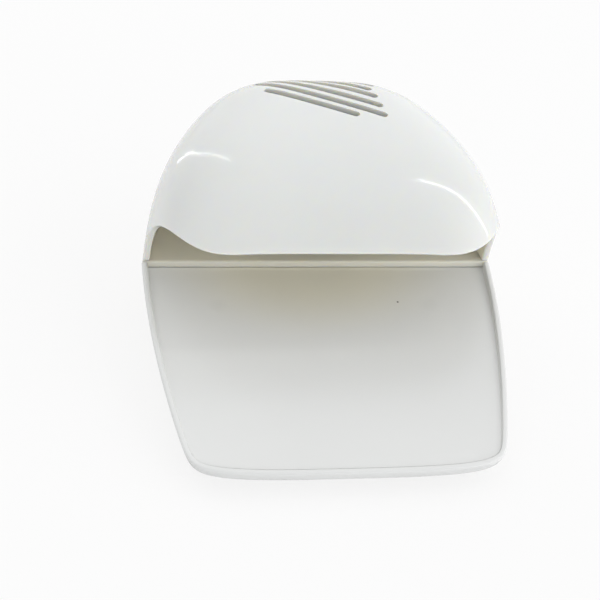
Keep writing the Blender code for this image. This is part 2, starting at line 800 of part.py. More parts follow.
def door_back_at(x):
    """Distance behind the seam of the lower housing's rear edge at its foot, at a distance from the middle."""
    share = abs(x) / (WIDTH / 2 - HOUSING_DRAW)
    return (REAR_REACH - HOUSING_DRAW + WIDEST_AHEAD) * math.sqrt(1 - share ** 2) - WIDEST_AHEAD


def add_bay(shell):
    """Walls round the cells, rails for the door, and the opening that the door closes."""
    outer = BAY_HALF + BAY_WALL
    front = world(bay_front())
    rear = world(bay_rear())
    rail_rear = world(door_back_at(outer) - BASE_WALL / 2)
    for side in (-1, 1):
        x_low, x_high = sorted((side * BAY_HALF, side * outer))
        join(shell, box("wall", (x_low, front - BAY_WALL, BASE_LOW + SINK), (x_high, rear + BAY_WALL, BAY_TOP)))
        join(shell, box("rail", (x_low, front - BAY_WALL, BASE_LOW + SINK / 2),
                        (x_high, rail_rear, BASE_LOW + RAIL_HEIGHT)))
    for y_low, y_high in ((front - BAY_WALL, front), (rear, rear + BAY_WALL)):
        join(shell, box("wall", (-outer + SINK, y_low, FLOOR_TOP - SINK), (outer - SINK, y_high, BAY_TOP - SINK)))
    ledge = rear_outline(HOUSING_DRAW + BASE_WALL / 4, bay_rear() + BAY_WALL / 2)
    join(shell, prism("ledge", ledge, FLOOR_TOP - SINK, LEDGE_HEIGHT))
    opening = BAY_HALF - GAP
    beyond = world(REAR_REACH + OVERRUN)
    cut(shell, box("opening", (-opening, front, BASE_LOW - OVERRUN),
                   (opening, beyond, BASE_LOW + DOOR_THICKNESS + GAP)))
    cut(shell, box("opening", (-opening, front, BASE_LOW), (opening, rear, FLOOR_TOP + OVERRUN)))
    for index in (0, 1):
        y = tab_y(index)
        cut(shell, box("notch", (-outer - OVERRUN, y - NOTCH_WIDTH / 2, BAY_TOP - NOTCH_DEPTH),
                       (-BAY_HALF + OVERRUN, y + NOTCH_WIDTH / 2, BAY_TOP + OVERRUN)))
    groove = opening + TONGUE_REACH + GAP
    cut(shell, box("groove", (-groove, front, BASE_LOW + TONGUE_HEIGHT - GAP),
                   (groove, beyond, BASE_LOW + TONGUE_HEIGHT + TONGUE_THICKNESS + GAP)))


def add_hinge_ears(shell):
    """Two ears on each side that carry a hinge pin."""
    y = world(-HINGE_AHEAD)
    for side in (-1, 1):
        for near in (KNUCKLE_LOW - GAP - EAR_THICKNESS, KNUCKLE_HIGH + GAP):
            x_low, x_high = sorted((side * near, side * (near + EAR_THICKNESS)))
            join(shell, box("ear", (x_low, y - EAR_DEPTH / 2, FLOOR_TOP - SINK),
                            (x_high, y + EAR_DEPTH / 2, HINGE_HEIGHT + KNUCKLE_RADIUS - GAP)))
    half = KNUCKLE_HIGH + EAR_THICKNESS + OVERRUN
    near = KNUCKLE_LOW - EAR_THICKNESS - OVERRUN
    for side in (-1, 1):
        cut(shell, rod("bore", PIN_RADIUS + GAP, (side * near, y, HINGE_HEIGHT), (side * half, y, HINGE_HEIGHT)))


def add_spring_seats(shell):
    """Posts under the tray springs, each with a spigot inside the coil."""
    y = world(-SPRING_AHEAD)
    for side in (-1, 1):
        stepped = [(SPRING_SEAT_RADIUS, FLOOR_TOP - SINK), (SPRING_SEAT_RADIUS, SPRING_SEAT_HEIGHT),
                   (SPIGOT_RADIUS, SPRING_SEAT_HEIGHT), (SPIGOT_RADIUS, SPRING_SEAT_HEIGHT + SPIGOT_LENGTH)]
        join(shell, turned("seat", stepped, 14, (side * SPRING_X, y, 0)))


def add_switch_cradle(shell):
    """Low walls that hold the switch at its front and rear."""
    y = world(-SWITCH_AHEAD)
    near = SWITCH_DEPTH / 2 + GAP
    half = SWITCH_LENGTH / 2
    for side in (-1, 1):
        y_low, y_high = sorted((y + side * near, y + side * (near + CRADLE_WALL)))
        join(shell, box("cradle", (-half, y_low, FLOOR_TOP - SINK), (half, y_high, FLOOR_TOP + CRADLE_HEIGHT)))


def make_battery_door(material):
    """Sliding door under the cells, flush with the underside, with tongues at both sides."""
    half = BAY_HALF - 2 * GAP
    front = world(bay_front() + GAP)
    edge = [(x, y) for x, y in rear_outline(HOUSING_DRAW, 0) if abs(x) < half]
    corner = world(door_back_at(half))
    outline = [(half, front), (half, corner)] + edge + [(-half, corner), (-half, front)]
    door = prism("battery_door", outline, BASE_LOW, BASE_LOW + DOOR_THICKNESS)
    low = BASE_LOW + TONGUE_HEIGHT
    rear = world(door_back_at(half + TONGUE_REACH) - BASE_WALL)
    for side in (-1, 1):
        x_low, x_high = sorted((side * (half - SINK), side * (half + TONGUE_REACH)))
        join(door, box("tongue", (x_low, front + OVERRUN, low), (x_high, rear, low + TONGUE_THICKNESS)))
    for index in range(DOOR_RIBS):
        y = world(DOOR_GRIP_BACK + DOOR_RIB_PITCH * index)
        cut(door, box("grip", (-DOOR_RIB_LENGTH / 2, y, BASE_LOW - OVERRUN),
                      (DOOR_RIB_LENGTH / 2, y + DOOR_RIB_WIDTH, BASE_LOW + DOOR_RIB_DEPTH)))
    return finish(door, material, (0, world(bay_front()), BASE_LOW))


def make_feet(material):
    names = ("foot_front_left", "foot_front_right", "foot_rear_left", "foot_rear_right")
    edge = FOOT_LIFT / 2
    for name, (x, y) in zip(names, foot_places()):
        profile = [(FOOT_RADIUS - edge, 0), (FOOT_RADIUS, edge), (FOOT_RADIUS, FOOT_HEIGHT)]
        finish(turned(name, profile, 20), material).location = (x, y, 0)


# Tray and its hinge, springs and switch

def make_press_tray(material):
    """Palm tray: a sloping slab with a raised rim, open at the seam, and a lip under the chamber floor."""
    skirt = tray_outline(SKIRT_DRAW, SKIRT_DRAW / 4, TRAY_BACK)
    tray = tapered("press_tray", skirt, tray_outline(0, 0, TRAY_BACK), skirt_low, rim_height)
    pocket = tray_outline(RIM_WIDTH, RIM_WIDTH, TRAY_BACK + OVERRUN)
    cut(tray, prism("pocket", pocket, tray_height, lambda y: rim_height(y) + OVERRUN))
    pocket = tray_outline(RIM_WIDTH + SKIRT_DRAW / 2, RIM_WIDTH, TRAY_BACK + OVERRUN)
    cut(tray, prism("pocket", pocket, -OVERRUN, tray_low))
    lip_top = tray_height(world(TRAY_BACK)) - GAP
    half = WIDTH / 2 - SEAM_LIP_INSET
    join(tray, box("lip", (-half, world(TRAY_BACK) - SEAM_LIP, lip_top - SEAM_LIP),
                   (half, world(TRAY_BACK) + SEAM_LIP_REACH, lip_top)))
    y = world(-HINGE_AHEAD)
    for side in (-1, 1):
        x_low, x_high = sorted((side * KNUCKLE_LOW, side * KNUCKLE_HIGH))
        top = tray_low(y) + SLAB / 2
        join(tray, box("web", (x_low, y - KNUCKLE_RADIUS, HINGE_HEIGHT), (x_high, y + KNUCKLE_RADIUS / 2, top)))
        join(tray, rod("knuckle", KNUCKLE_RADIUS, (x_low, y, HINGE_HEIGHT), (x_high, y, HINGE_HEIGHT)))
        cut(tray, rod("bore", PIN_RADIUS + GAP, (x_low - OVERRUN, y, HINGE_HEIGHT),
                      (x_high + OVERRUN, y, HINGE_HEIGHT)))
        spring_y = world(-SPRING_AHEAD)
        top = tray_low(spring_y) + SLAB / 2
        low = tray_low(spring_y) - SPIGOT_LENGTH
        join(tray, rod("spigot", SPIGOT_RADIUS, (side * SPRING_X, spring_y, low),
                       (side * SPRING_X, spring_y, top)))
    switch_y = world(-SWITCH_AHEAD)
    join(tray, rod("pusher", PUSHER_RADIUS, (0, switch_y, plunger_top() + GAP),
                   (0, switch_y, tray_low(switch_y) + SLAB / 2)))
    return finish(tray, material, (0, y, HINGE_HEIGHT))


def make_hinge_pins(material):
    y = world(-HINGE_AHEAD)
    near = KNUCKLE_LOW - EAR_THICKNESS
    far = KNUCKLE_HIGH + EAR_THICKNESS
    for name, side in SIDES:
        finish(rod(f"hinge_pin_{name}", PIN_RADIUS, (side * near, y, HINGE_HEIGHT), (side * far, y, HINGE_HEIGHT)),
               material, (side * (near + far) / 2, y, HINGE_HEIGHT))


def coil_points(radius, length, turns, wire):
    """Points of a compression spring along +Z, from a straight lead-in to a straight lead-out."""
    rise = length - 4 * wire
    points = []
    count = turns * CURL_POINTS
    for step in range(count + 1):
        turn = 2 * math.pi * step / CURL_POINTS
        points.append(Vector((radius * math.cos(turn), radius * math.sin(turn), 2 * wire + rise * step / count)))
    return points


def least_gap(points, wire):
    """Least gap between the wire and itself, at points half a turn or more apart."""
    apart = CURL_POINTS // 2
    least = min((first - second).length for index, first in enumerate(points)
                for second in points[index + apart:])
    return least - 2 * wire


def wound(name, points, wire, material, place, turn=None):
    """Wire tube along points, with filled ends and straight, upright lead-ins one wire thick."""
    first = points[0] - Vector((0, 0, 2 * wire))
    last = points[-1] + Vector((0, 0, 2 * wire))
    curve = bpy.data.curves.new(name, "CURVE")
    curve.dimensions = "3D"
    curve.bevel_depth = wire
    curve.bevel_resolution = 1
    curve.use_fill_caps = True
    spline = curve.splines.new("POLY")
    route = [first] + points + [last]
    spline.points.add(len(route) - 1)
    for point, spot in zip(spline.points, route):
        point.co = (*spot, 1)
    made = add_object(name, curve)
    curve.materials.append(material)
    made.location = place
    if turn:
        made.rotation_euler = turn
    return made


def make_tray_springs(material):
    y = world(-SPRING_AHEAD)
    low = SPRING_SEAT_HEIGHT + GAP
    length = tray_low(y) - GAP - SPRING_SLACK - low
    points = coil_points(SPRING_RADIUS, length, SPRING_TURNS, SPRING_WIRE)
    print("tray spring least gap", least_gap(points, SPRING_WIRE))
    for name, side in SIDES:
        wound(f"tray_spring_{name}", points, SPRING_WIRE, material, (side * SPRING_X, y, low))


def plunger_top():
    return FLOOR_TOP + GAP + SWITCH_HEIGHT + PLUNGER_RISE


def make_switch(body_material, plunger_material, metal):
    """Push switch: body with a well, plunger in the well and two side terminals."""
    y = world(-SWITCH_AHEAD)
    low = FLOOR_TOP + GAP
    top = low + SWITCH_HEIGHT
    half = SWITCH_LENGTH / 2
    body = box("switch_body", (-half, y - SWITCH_DEPTH / 2, low), (half, y + SWITCH_DEPTH / 2, top))
    well = (PLUNGER_WIDTH / 2 + GAP, PLUNGER_DEPTH / 2 + GAP)
    bottom = top - PLUNGER_SUNK - SWITCH_TRAVEL - GAP
    cut(body, box("well", (-well[0], y - well[1], bottom), (well[0], y + well[1], top + OVERRUN)))
    finish(body, body_material)
    plunger = box("switch_plunger", (-PLUNGER_WIDTH / 2, y - PLUNGER_DEPTH / 2, top - PLUNGER_SUNK),
                  (PLUNGER_WIDTH / 2, y + PLUNGER_DEPTH / 2, plunger_top()))
    finish(plunger, plunger_material, (0, y, plunger_top()))
    for number, offset in ((1, -1), (2, 1)):
        middle = y + offset * SWITCH_DEPTH / 4
        left = -half - GAP - TERMINAL_LENGTH
        tab = box(f"switch_terminal_{number}", (left, middle - TERMINAL_THICKNESS / 2, TERMINAL_HEIGHT),
                  (-half - GAP, middle + TERMINAL_THICKNESS / 2, TERMINAL_HEIGHT + TERMINAL_WIDTH))
        finish(tab, metal)


# Cells and contacts

def cell_y(index):
    return world(FIRST_CELL_BACK + CELL_PITCH * index)


def cell_shift():
    """How far each cell stands off the middle, so that its nub meets the flat contact."""
    return contact_face() - GAP - CELL_LENGTH / 2


def make_cells(material):
    """Two cells side by side, with their nubs at opposite ends."""
    bottom = -CELL_LENGTH / 2
    shoulder = CELL_LENGTH / 2 - CELL_NUB
    profile = [(CELL_RADIUS - CELL_SHOULDER, bottom), (CELL_RADIUS, bottom + CELL_SHOULDER),
               (CELL_RADIUS, shoulder - CELL_SHOULDER), (CELL_RADIUS - CELL_SHOULDER, shoulder),
               (CELL_NUB_RADIUS, shoulder), (CELL_NUB_RADIUS, CELL_LENGTH / 2)]
    for index, (name, side) in enumerate((("battery_a", 1), ("battery_b", -1))):
        cell = finish(turned(name, profile, 20), material)
        cell.rotation_euler = (0, side * math.pi / 2, 0)
        cell.location = (side * cell_shift(), cell_y(index), CELL_HEIGHT)


def tab_y(index):
    """Where a contact plate's solder tab stands, towards the outer side of its cell."""
    side = -1 if index == 0 else 1
    return cell_y(index) + side * CONTACT_WIDTH / 4


def contact_face():
    """Distance from the middle of the contact plates' inner faces."""
    return BAY_HALF - GAP - CONTACT_THICKNESS


def make_contacts(metal):
    """Plates at both ends of the bay and the two coils that press on the cells."""
    inner = contact_face()
    outer = inner + CONTACT_THICKNESS
    low = CELL_HEIGHT - CONTACT_HEIGHT / 2
    high = CELL_HEIGHT + CONTACT_HEIGHT / 2
    half = CONTACT_WIDTH / 2
    for name, index in (("contact_plate_negative", 0), ("contact_plate_positive", 1)):
        y = cell_y(index)
        near = tab_y(index) - TERMINAL_WIDTH / 2
        far = tab_y(index) + TERMINAL_WIDTH / 2
        outline = [(y - half, low), (y + half, low), (y + half, high), (far, high), (far, TAB_HIGH),
                   (near, TAB_HIGH), (near, high), (y - half, high)]
        finish(bar_along_x(name, outline, -outer, -inner), metal)
    bridge = box("contact_bridge", (inner, cell_y(0) - half, low), (outer, cell_y(1) + half, high))
    finish(bridge, metal)
    for name, index, side in (("contact_spring_a", 0, -1), ("contact_spring_b", 1, 1)):
        coil_end = CELL_LENGTH / 2 - cell_shift() + GAP
        length = inner - GAP - coil_end
        points = coil_points(CONTACT_SPRING_RADIUS, length, CONTACT_SPRING_TURNS, SPRING_WIRE)
        turn = (0, side * math.pi / 2, 0)
        wound(name, points, SPRING_WIRE, metal, (side * coil_end, cell_y(index), CELL_HEIGHT), turn)
    print("contact spring least gap", least_gap(points, SPRING_WIRE))


# Chamber liner and fan guard

def make_chamber_liner(material):
    """Ceiling and back wall of the finger chamber, with the fan duct through the ceiling."""
    clearance = WALL + LINER_GAP
    rear = BACK_WALL_BACK + BACK_WALL
    backs = [-CEILING_FRONT + (rear + CEILING_FRONT) * (step / CEILING_STEPS) ** CEILING_POWER
             for step in range(CEILING_STEPS + 1)]
    right = [(side_at(back, CEILING_TOP, clearance), world(back)) for back in backs]
    left = [(-x, y) for x, y in reversed(right)]
    liner = prism("chamber_liner", right + left, CEILING_HEIGHT, CEILING_TOP)
    heights = [HOOD_FOOT + (CEILING_TOP - SINK - HOOD_FOOT) * step / WALL_STEPS for step in range(WALL_STEPS + 1)]
    bm = bmesh.new()
    rings = []
    for back in (BACK_WALL_BACK, rear):
        side = [(side_at(rear, height, clearance), height) for height in heights]
        outline = side + [(-x, height) for x, height in reversed(side)]
        rings.append([bm.verts.new((x, world(back), height)) for x, height in outline])
    bm.faces.new(rings[0])
    bm.faces.new(reversed(rings[1]))
    for index in range(len(rings[0])):
        following = (index + 1) % len(rings[0])
        bm.faces.new((rings[0][index], rings[0][following], rings[1][following], rings[1][index]))
    join(liner, add_object("wall", mesh_of(bm, "wall")))
    outer = DUCT_RADIUS + DUCT_WALL
    guard_top = DUCT_LOW + GUARD_THICKNESS + GAP
    for x, y in lug_places():
        join(liner, rod("lug", LUG_RADIUS, (x, y, CEILING_HEIGHT + SINK), (x, y, DUCT_HIGH - SINK)))
    cut(liner, rod("hole", outer - SINK, (0, DUCT_Y, CEILING_HEIGHT - OVERRUN), (0, DUCT_Y, DUCT_HIGH + OVERRUN),
                   DUCT_SIDES))
    profile = [(outer, DUCT_LOW), (outer, DUCT_HIGH), (DUCT_RADIUS - DUCT_LEDGE, DUCT_HIGH),
               (DUCT_RADIUS - DUCT_LEDGE, guard_top), (DUCT_RADIUS, guard_top), (DUCT_RADIUS, DUCT_LOW)]
    join(liner, turned("duct", profile, DUCT_SIDES, (0, DUCT_Y, 0), True))
    for x, y in lug_places():
        cut(liner, rod("bore", SCREW_BORE, (x, y, CEILING_HEIGHT - OVERRUN), (x, y, DUCT_HIGH + OVERRUN)))
    for x, back in liner_screw_places():
        cut(liner, boss("bore", x, back, CEILING_HEIGHT - OVERRUN, CEILING_TOP + OVERRUN, SCREW_BORE))
    return finish(liner, material)


def lug_places():
    """Centres of the three lugs that carry the motor bracket."""
    places = []
    for index in range(3):
        turn = -math.pi / 2 + 2 * math.pi * index / 3
        places.append((LUG_OFFSET * math.cos(turn), DUCT_Y + LUG_OFFSET * math.sin(turn)))
    return places


def make_fan_guard(material):
    """Grille under the fan: hub, middle ring, rim and spokes."""
    top = DUCT_LOW + GUARD_THICKNESS
    guard = rod("fan_guard", GUARD_RADIUS, (0, DUCT_Y, DUCT_LOW), (0, DUCT_Y, top), DUCT_SIDES)
    inner_edge = GUARD_RING_MIDDLE - GUARD_RING / 2
    outer_edge = GUARD_RING_MIDDLE + GUARD_RING / 2
    for near, far in ((GUARD_HUB, inner_edge), (outer_edge, GUARD_RADIUS - GUARD_RING)):
        for index in range(GUARD_SPOKES):
            middle = 2 * math.pi * (index + 1 / 2) / GUARD_SPOKES
            outline = window_outline(near, far, middle)
            cut(guard, prism("window", outline, DUCT_LOW - OVERRUN, top + OVERRUN))
    return finish(guard, material)


def window_outline(near, far, middle):
    """Outline of a window between two spokes and two rings."""
    outline = []
    for radius, ways in ((near, (1, -1)), (far, (-1, 1))):
        spread = math.pi / GUARD_SPOKES - math.asin(GUARD_SPOKE / 2 / radius)
        for step in range(3):
            turn = middle + spread * (ways[0] + (ways[1] - ways[0]) * step / 2)
            outline.append((radius * math.cos(turn), DUCT_Y + radius * math.sin(turn)))
    return outline


# Fan and motor

def make_impeller(material):
    """Fan wheel with pitched blades on a bored hub."""
    top = FAN_LOW + FAN_HEIGHT
    middle = FAN_LOW + FAN_HEIGHT / 2
    wheel = rod("fan_impeller", FAN_HUB_RADIUS, (0, 0, FAN_LOW), (0, 0, top), 18)
    root = FAN_HUB_RADIUS / 2
    sections = [(root, BLADE_PITCH_ROOT, BLADE_CHORD / 2), (FAN_HUB_RADIUS * 2, BLADE_PITCH_ROOT, BLADE_CHORD * 3 / 4),
                (FAN_RADIUS * 3 / 4, BLADE_PITCH_TIP, BLADE_CHORD), (FAN_RADIUS, BLADE_PITCH_TIP, BLADE_CHORD)]
    for index in range(BLADES):
        join(wheel, blade("blade", sections, 2 * math.pi * index / BLADES, middle))
    cut(wheel, rod("bore", SHAFT_RADIUS + GAP, (0, 0, FAN_LOW - OVERRUN), (0, 0, top + OVERRUN)))
    cut(wheel, tip_cutter(middle))
    wheel.data.transform(translation((0, DUCT_Y, 0)))
    return finish(wheel, material, (0, DUCT_Y, middle))


def tip_cutter(middle):
    """Ring that trims the blades' tips to the wheel's radius."""
    far = FAN_RADIUS + BLADE_CHORD
    low = middle - BLADE_CHORD
    high = middle + BLADE_CHORD
    return turned("tip", [(FAN_RADIUS, low), (far, low), (far, high), (FAN_RADIUS, high)], 36, closed=True)


def blade(name, sections, turn, middle):
    """One twisted blade, from sections of (radius, pitch, chord)."""
    bm = bmesh.new()
    rings = []
    for radius, pitch, chord in sections:
        ring = []
        for along, over in ((-1, -1), (1, -1), (1, 1), (-1, 1)):
            across = along * chord / 2 * math.cos(pitch) - over * BLADE_THICKNESS / 2 * math.sin(pitch)
            height = along * chord / 2 * math.sin(pitch) + over * BLADE_THICKNESS / 2 * math.cos(pitch)
            height = max(-FAN_HEIGHT / 2, min(FAN_HEIGHT / 2, height))
            x = radius * math.cos(turn) - across * math.sin(turn)
            y = radius * math.sin(turn) + across * math.cos(turn)
            ring.append(bm.verts.new((x, y, middle + height)))
        rings.append(ring)
    bm.faces.new(rings[0])
    bm.faces.new(reversed(rings[-1]))
    for ring, other in zip(rings[:-1], rings[1:]):
        for index in range(4):
            following = (index + 1) % 4
            bm.faces.new((ring[index], ring[following], other[following], other[index]))
    return add_object(name, mesh_of(bm, name))


def make_motor(steel, plastic, metal, bronze, dark):
    """Flat motor, shaft down: can, end cap, magnet ring, rotor, bush, shaft and terminals."""
    centre = (0, DUCT_Y, 0)
    neck_low = CAN_LOW - CAN_NECK
    bush_bore = BUSH_RADIUS + GAP
    can = turned("motor_can", [(bush_bore, neck_low), (CAN_NECK_RADIUS, neck_low), (CAN_NECK_RADIUS, CAN_LOW),
                               (CAN_RADIUS, CAN_LOW), (CAN_RADIUS, CAN_TOP), (CAN_RADIUS - CAN_WALL, CAN_TOP),
                               (CAN_RADIUS - CAN_WALL, CAN_LOW + CAN_WALL), (bush_bore, CAN_LOW + CAN_WALL)],
                 30, centre, True)
    for side in (-1, 1):
        x = side * MOTOR_SCREW_OFFSET
        cut(can, rod("bore", MOTOR_SCREW_RADIUS + GAP, (x, DUCT_Y, CAN_LOW - OVERRUN),
                     (x, DUCT_Y, CAN_LOW + CAN_WALL + OVERRUN), 12))
    finish(can, steel)
    cap_low = CAN_TOP - END_CAP_THICKNESS
    shaft_bore = SHAFT_RADIUS + GAP
    cap = turned("motor_end_cap", [(shaft_bore, cap_low + END_CAP_THICKNESS / 2), (shaft_bore, cap_low),
                                   (END_CAP_RADIUS, cap_low), (END_CAP_RADIUS, CAN_TOP)], 30, centre)
    finish(cap, plastic)
    floor = CAN_LOW + CAN_WALL + GAP
    ring_out = CAN_RADIUS - CAN_WALL - GAP
    ring_in = ring_out - MAGNET_THICKNESS
    magnet = turned("motor_magnet", [(ring_in, floor), (ring_out, floor), (ring_out, floor + MAGNET_HEIGHT),
                                     (ring_in, floor + MAGNET_HEIGHT)], 30, centre, True)
    finish(magnet, dark)
    rotor_low = floor + (MAGNET_HEIGHT - ROTOR_HEIGHT) + GAP
    rotor = turned("motor_rotor", [(shaft_bore, rotor_low), (ROTOR_RADIUS, rotor_low),
                                   (ROTOR_RADIUS, rotor_low + ROTOR_HEIGHT), (shaft_bore, rotor_low + ROTOR_HEIGHT)],
                   24, closed=True)
    finish(rotor, bronze).location = centre
    bush = turned("motor_bush", [(shaft_bore, neck_low), (BUSH_RADIUS, neck_low),
                                 (BUSH_RADIUS, neck_low + BUSH_LENGTH), (shaft_bore, neck_low + BUSH_LENGTH)],
                  14, centre, True)
    finish(bush, bronze)
    shaft_top = cap_low + END_CAP_THICKNESS / 2 - GAP
    shaft = rod("motor_shaft", SHAFT_RADIUS, (0, 0, SHAFT_LOW), (0, 0, shaft_top), 12)
    finish(shaft, steel).location = centre
    for name, side in SIDES:
        x = side * MOTOR_TERMINAL_X
        y = DUCT_Y + MOTOR_TERMINAL_BACK
        low = CAN_TOP + GAP
        tab = box(f"motor_terminal_{name}", (x - MOTOR_TERMINAL_WIDTH / 2, y - MOTOR_TERMINAL_WIDTH / 2, low),
                  (x + MOTOR_TERMINAL_WIDTH / 2, y + MOTOR_TERMINAL_WIDTH / 2, low + TERMINAL_THICKNESS))
        finish(tab, metal)


def bracket_outline():
    """Outline of the motor bracket: a hub and three round-ended arms."""
    outline = []
    spread = math.asin(BRACKET_ARM_WIDTH / 2 / BRACKET_HUB_RADIUS)
    for x, y in lug_places():
        facing = math.atan2(y - DUCT_Y, x)
        for step in range(BRACKET_END_STEPS + 1):
            turn = facing - math.pi / 2 + math.pi * step / BRACKET_END_STEPS
            outline.append((x + BRACKET_ARM_WIDTH / 2 * math.cos(turn), y + BRACKET_ARM_WIDTH / 2 * math.sin(turn)))
        for step in range(BRACKET_HUB_STEPS + 1):
            turn = facing + spread + (math.pi * 2 / 3 - 2 * spread) * step / BRACKET_HUB_STEPS
            outline.append((BRACKET_HUB_RADIUS * math.cos(turn), DUCT_Y + BRACKET_HUB_RADIUS * math.sin(turn)))
    return outline


def make_motor_bracket(metal):
    """Three-armed plate that carries the motor on the duct's lugs."""
    top = BRACKET_LOW + BRACKET
    bracket = prism("motor_bracket", bracket_outline(), BRACKET_LOW, top)
    for x, y in lug_places():
        cut(bracket, rod("bore", SCREW_BORE, (x, y, BRACKET_LOW - OVERRUN), (x, y, top + OVERRUN), 12))
    cut(bracket, rod("bore", CAN_NECK_RADIUS + GAP, (0, DUCT_Y, BRACKET_LOW - OVERRUN),
                     (0, DUCT_Y, top + OVERRUN)))
    for side in (-1, 1):
        x = side * MOTOR_SCREW_OFFSET
        cut(bracket, rod("bore", MOTOR_SCREW_RADIUS + GAP, (x, DUCT_Y, BRACKET_LOW - OVERRUN),
                         (x, DUCT_Y, top + OVERRUN), 12))
    return finish(bracket, metal)


# Leads

def smooth_route(spots):
    """Points along a smooth curve through the spots, about as far apart as the named spacing."""
    ends = [spots[0] * 2 - spots[1]] + spots + [spots[-1] * 2 - spots[-2]]
    route = [spots[0]]
    for before, start, end, after in zip(ends, ends[1:], ends[2:], ends[3:]):
        steps = max(1, round((end - start).length / WIRE_POINTS_APART))
        for step in range(1, steps + 1):
            way = step / steps
            leaving = (end - before) / 2
            arriving = (after - start) / 2
            route.append(start * (2 * way ** 3 - 3 * way ** 2 + 1) + leaving * (way ** 3 - 2 * way ** 2 + way)
                         + end * (3 * way ** 2 - 2 * way ** 3) + arriving * (way ** 3 - way ** 2))
    return route


def make_lead(name, spots, material):
    """Insulated wire through its spots."""
    curve = bpy.data.curves.new(name, "CURVE")
    curve.dimensions = "3D"
    curve.bevel_depth = WIRE_RADIUS
    curve.bevel_resolution = 2
    curve.use_fill_caps = True
    route = smooth_route([Vector(spot) for spot in spots])
    spline = curve.splines.new("POLY")
    spline.points.add(len(route) - 1)
    for point, spot in zip(spline.points, route):
        point.co = (*spot, 1)
    curve.materials.append(material)
    return add_object(name, curve)


def crest_back(height, inset):
    """Distance behind the seam at which the hood's rear crest line, inset, stands at a height."""
    share = min(1, height / (HOOD_TOP - inset))
    return PEAK_BACK + (REAR_REACH - inset - PEAK_BACK) * (1 - share ** TAIL_POWER) ** (1 / TAIL_POWER)


def climb(side, from_height):
    """Spots of a lead that rises behind the back wall and runs forward under the hood to the motor."""
    x = side * LEAD_X_SHARE * WIRE_HOLE_WIDTH
    hole_y = world(WIRE_HOLE_BACK)
    middle = (SEAM_HEIGHT + CEILING_HEIGHT) / 2
    inset = WALL + LEAD_DEPTH
    high = CAN_TOP - LEAD_RISE
    spots = [(x, hole_y, from_height), (x, hole_y, SEAM_HEIGHT), (x, hole_y, middle),
             (x, world(crest_back(CEILING_TOP, inset)), CEILING_TOP)]
    for share in (1 / 2, 1):
        height = CEILING_TOP + (high - CEILING_TOP) * share
        near = (1 - share) * x + share * side * MOTOR_TERMINAL_X
        spots.append((near, world(crest_back(height, inset)), height))
    motor_y = DUCT_Y + MOTOR_TERMINAL_BACK + MOTOR_TERMINAL_WIDTH / 2 + GAP
    motor_z = CAN_TOP + GAP + WIRE_RADIUS
    spots.append((side * MOTOR_TERMINAL_X, DUCT_Y + CAN_RADIUS, motor_z))
    spots.append((side * MOTOR_TERMINAL_X, motor_y, motor_z))
    return spots


def make_leads(black, white, red):
    """Black from the negative contact to the switch, white on to the motor, red straight to the motor."""
    outer = BAY_HALF + BAY_WALL
    tab_x = -contact_face() - CONTACT_THICKNESS - GAP
    tab_z = TAB_HIGH - WIRE_RADIUS - GAP
    near_lane = -outer - LANE
    far_lane = -outer - 4 * LANE
    ears = -(KNUCKLE_LOW - GAP - EAR_THICKNESS)
    hinge_y = world(-HINGE_AHEAD)
    corridor = (world(bay_front() - BAY_WALL) + hinge_y + EAR_DEPTH / 2) / 2
    behind = world(bay_rear() + BAY_WALL) + LANE
    floor = FLOOR_TOP + 3 * WIRE_RADIUS
    upper = floor + 3 * LANE
    switch_x = -SWITCH_LENGTH / 2 - 2 * GAP - TERMINAL_LENGTH
    switch_y = world(-SWITCH_AHEAD)
    switch_z = TERMINAL_HEIGHT + TERMINAL_WIDTH / 2
    front_y = switch_y - SWITCH_DEPTH / 4
    rear_y = switch_y + SWITCH_DEPTH / 4
    make_lead("wire_black", [
        (tab_x, tab_y(0), tab_z), (near_lane - LANE, tab_y(0), tab_z), (far_lane, tab_y(0) - LANE, upper + LANE),
        (far_lane, corridor + 2 * LANE, floor + 2 * LANE), (near_lane, corridor, floor), (ears, corridor, floor),
        (ears + 3 * LANE, hinge_y, floor), (ears + 3 * LANE, switch_y + SWITCH_LENGTH, floor),
        (switch_x - 5 * LANE, switch_y + LANE / 2, floor + LANE / 2), (switch_x - 2 * LANE, front_y, switch_z),
        (switch_x, front_y, switch_z)], black)
    make_lead("wire_white", [
        (switch_x, rear_y, switch_z), (switch_x - LANE, rear_y, switch_z),
        (switch_x - 3 * LANE, rear_y + 3 * LANE, floor), (ears + 5 * LANE, hinge_y - 2 * LANE, floor),
        (ears + 4 * LANE, corridor - LANE, floor + LANE / 2), (ears + LANE, corridor, floor + 2 * LANE),
        (near_lane + 2 * LANE, corridor - LANE / 4, upper - LANE / 2), (near_lane - LANE / 4, corridor + LANE, upper),
        (near_lane, corridor + 4 * LANE, upper), (near_lane, behind - 5 * LANE, upper),
        (near_lane - LANE / 2, behind - LANE, upper), (near_lane + LANE, behind + LANE, upper),
        (near_lane + 8 * LANE, behind + LANE, upper), *climb(-1, upper + 2 * LANE)], white)
    make_lead("wire_red", [
        (tab_x, tab_y(1), tab_z), (near_lane - LANE, tab_y(1), tab_z),
        (near_lane - LANE, behind - LANE, tab_z - LANE), (near_lane + 2 * LANE, behind + 3 * LANE, upper + 2 * LANE),
        (near_lane / 2, world(WIRE_HOLE_BACK) - LANE, upper + LANE), (0, world(WIRE_HOLE_BACK) + LANE, upper),
        *climb(1, upper + 2 * LANE)], red)


# Screws

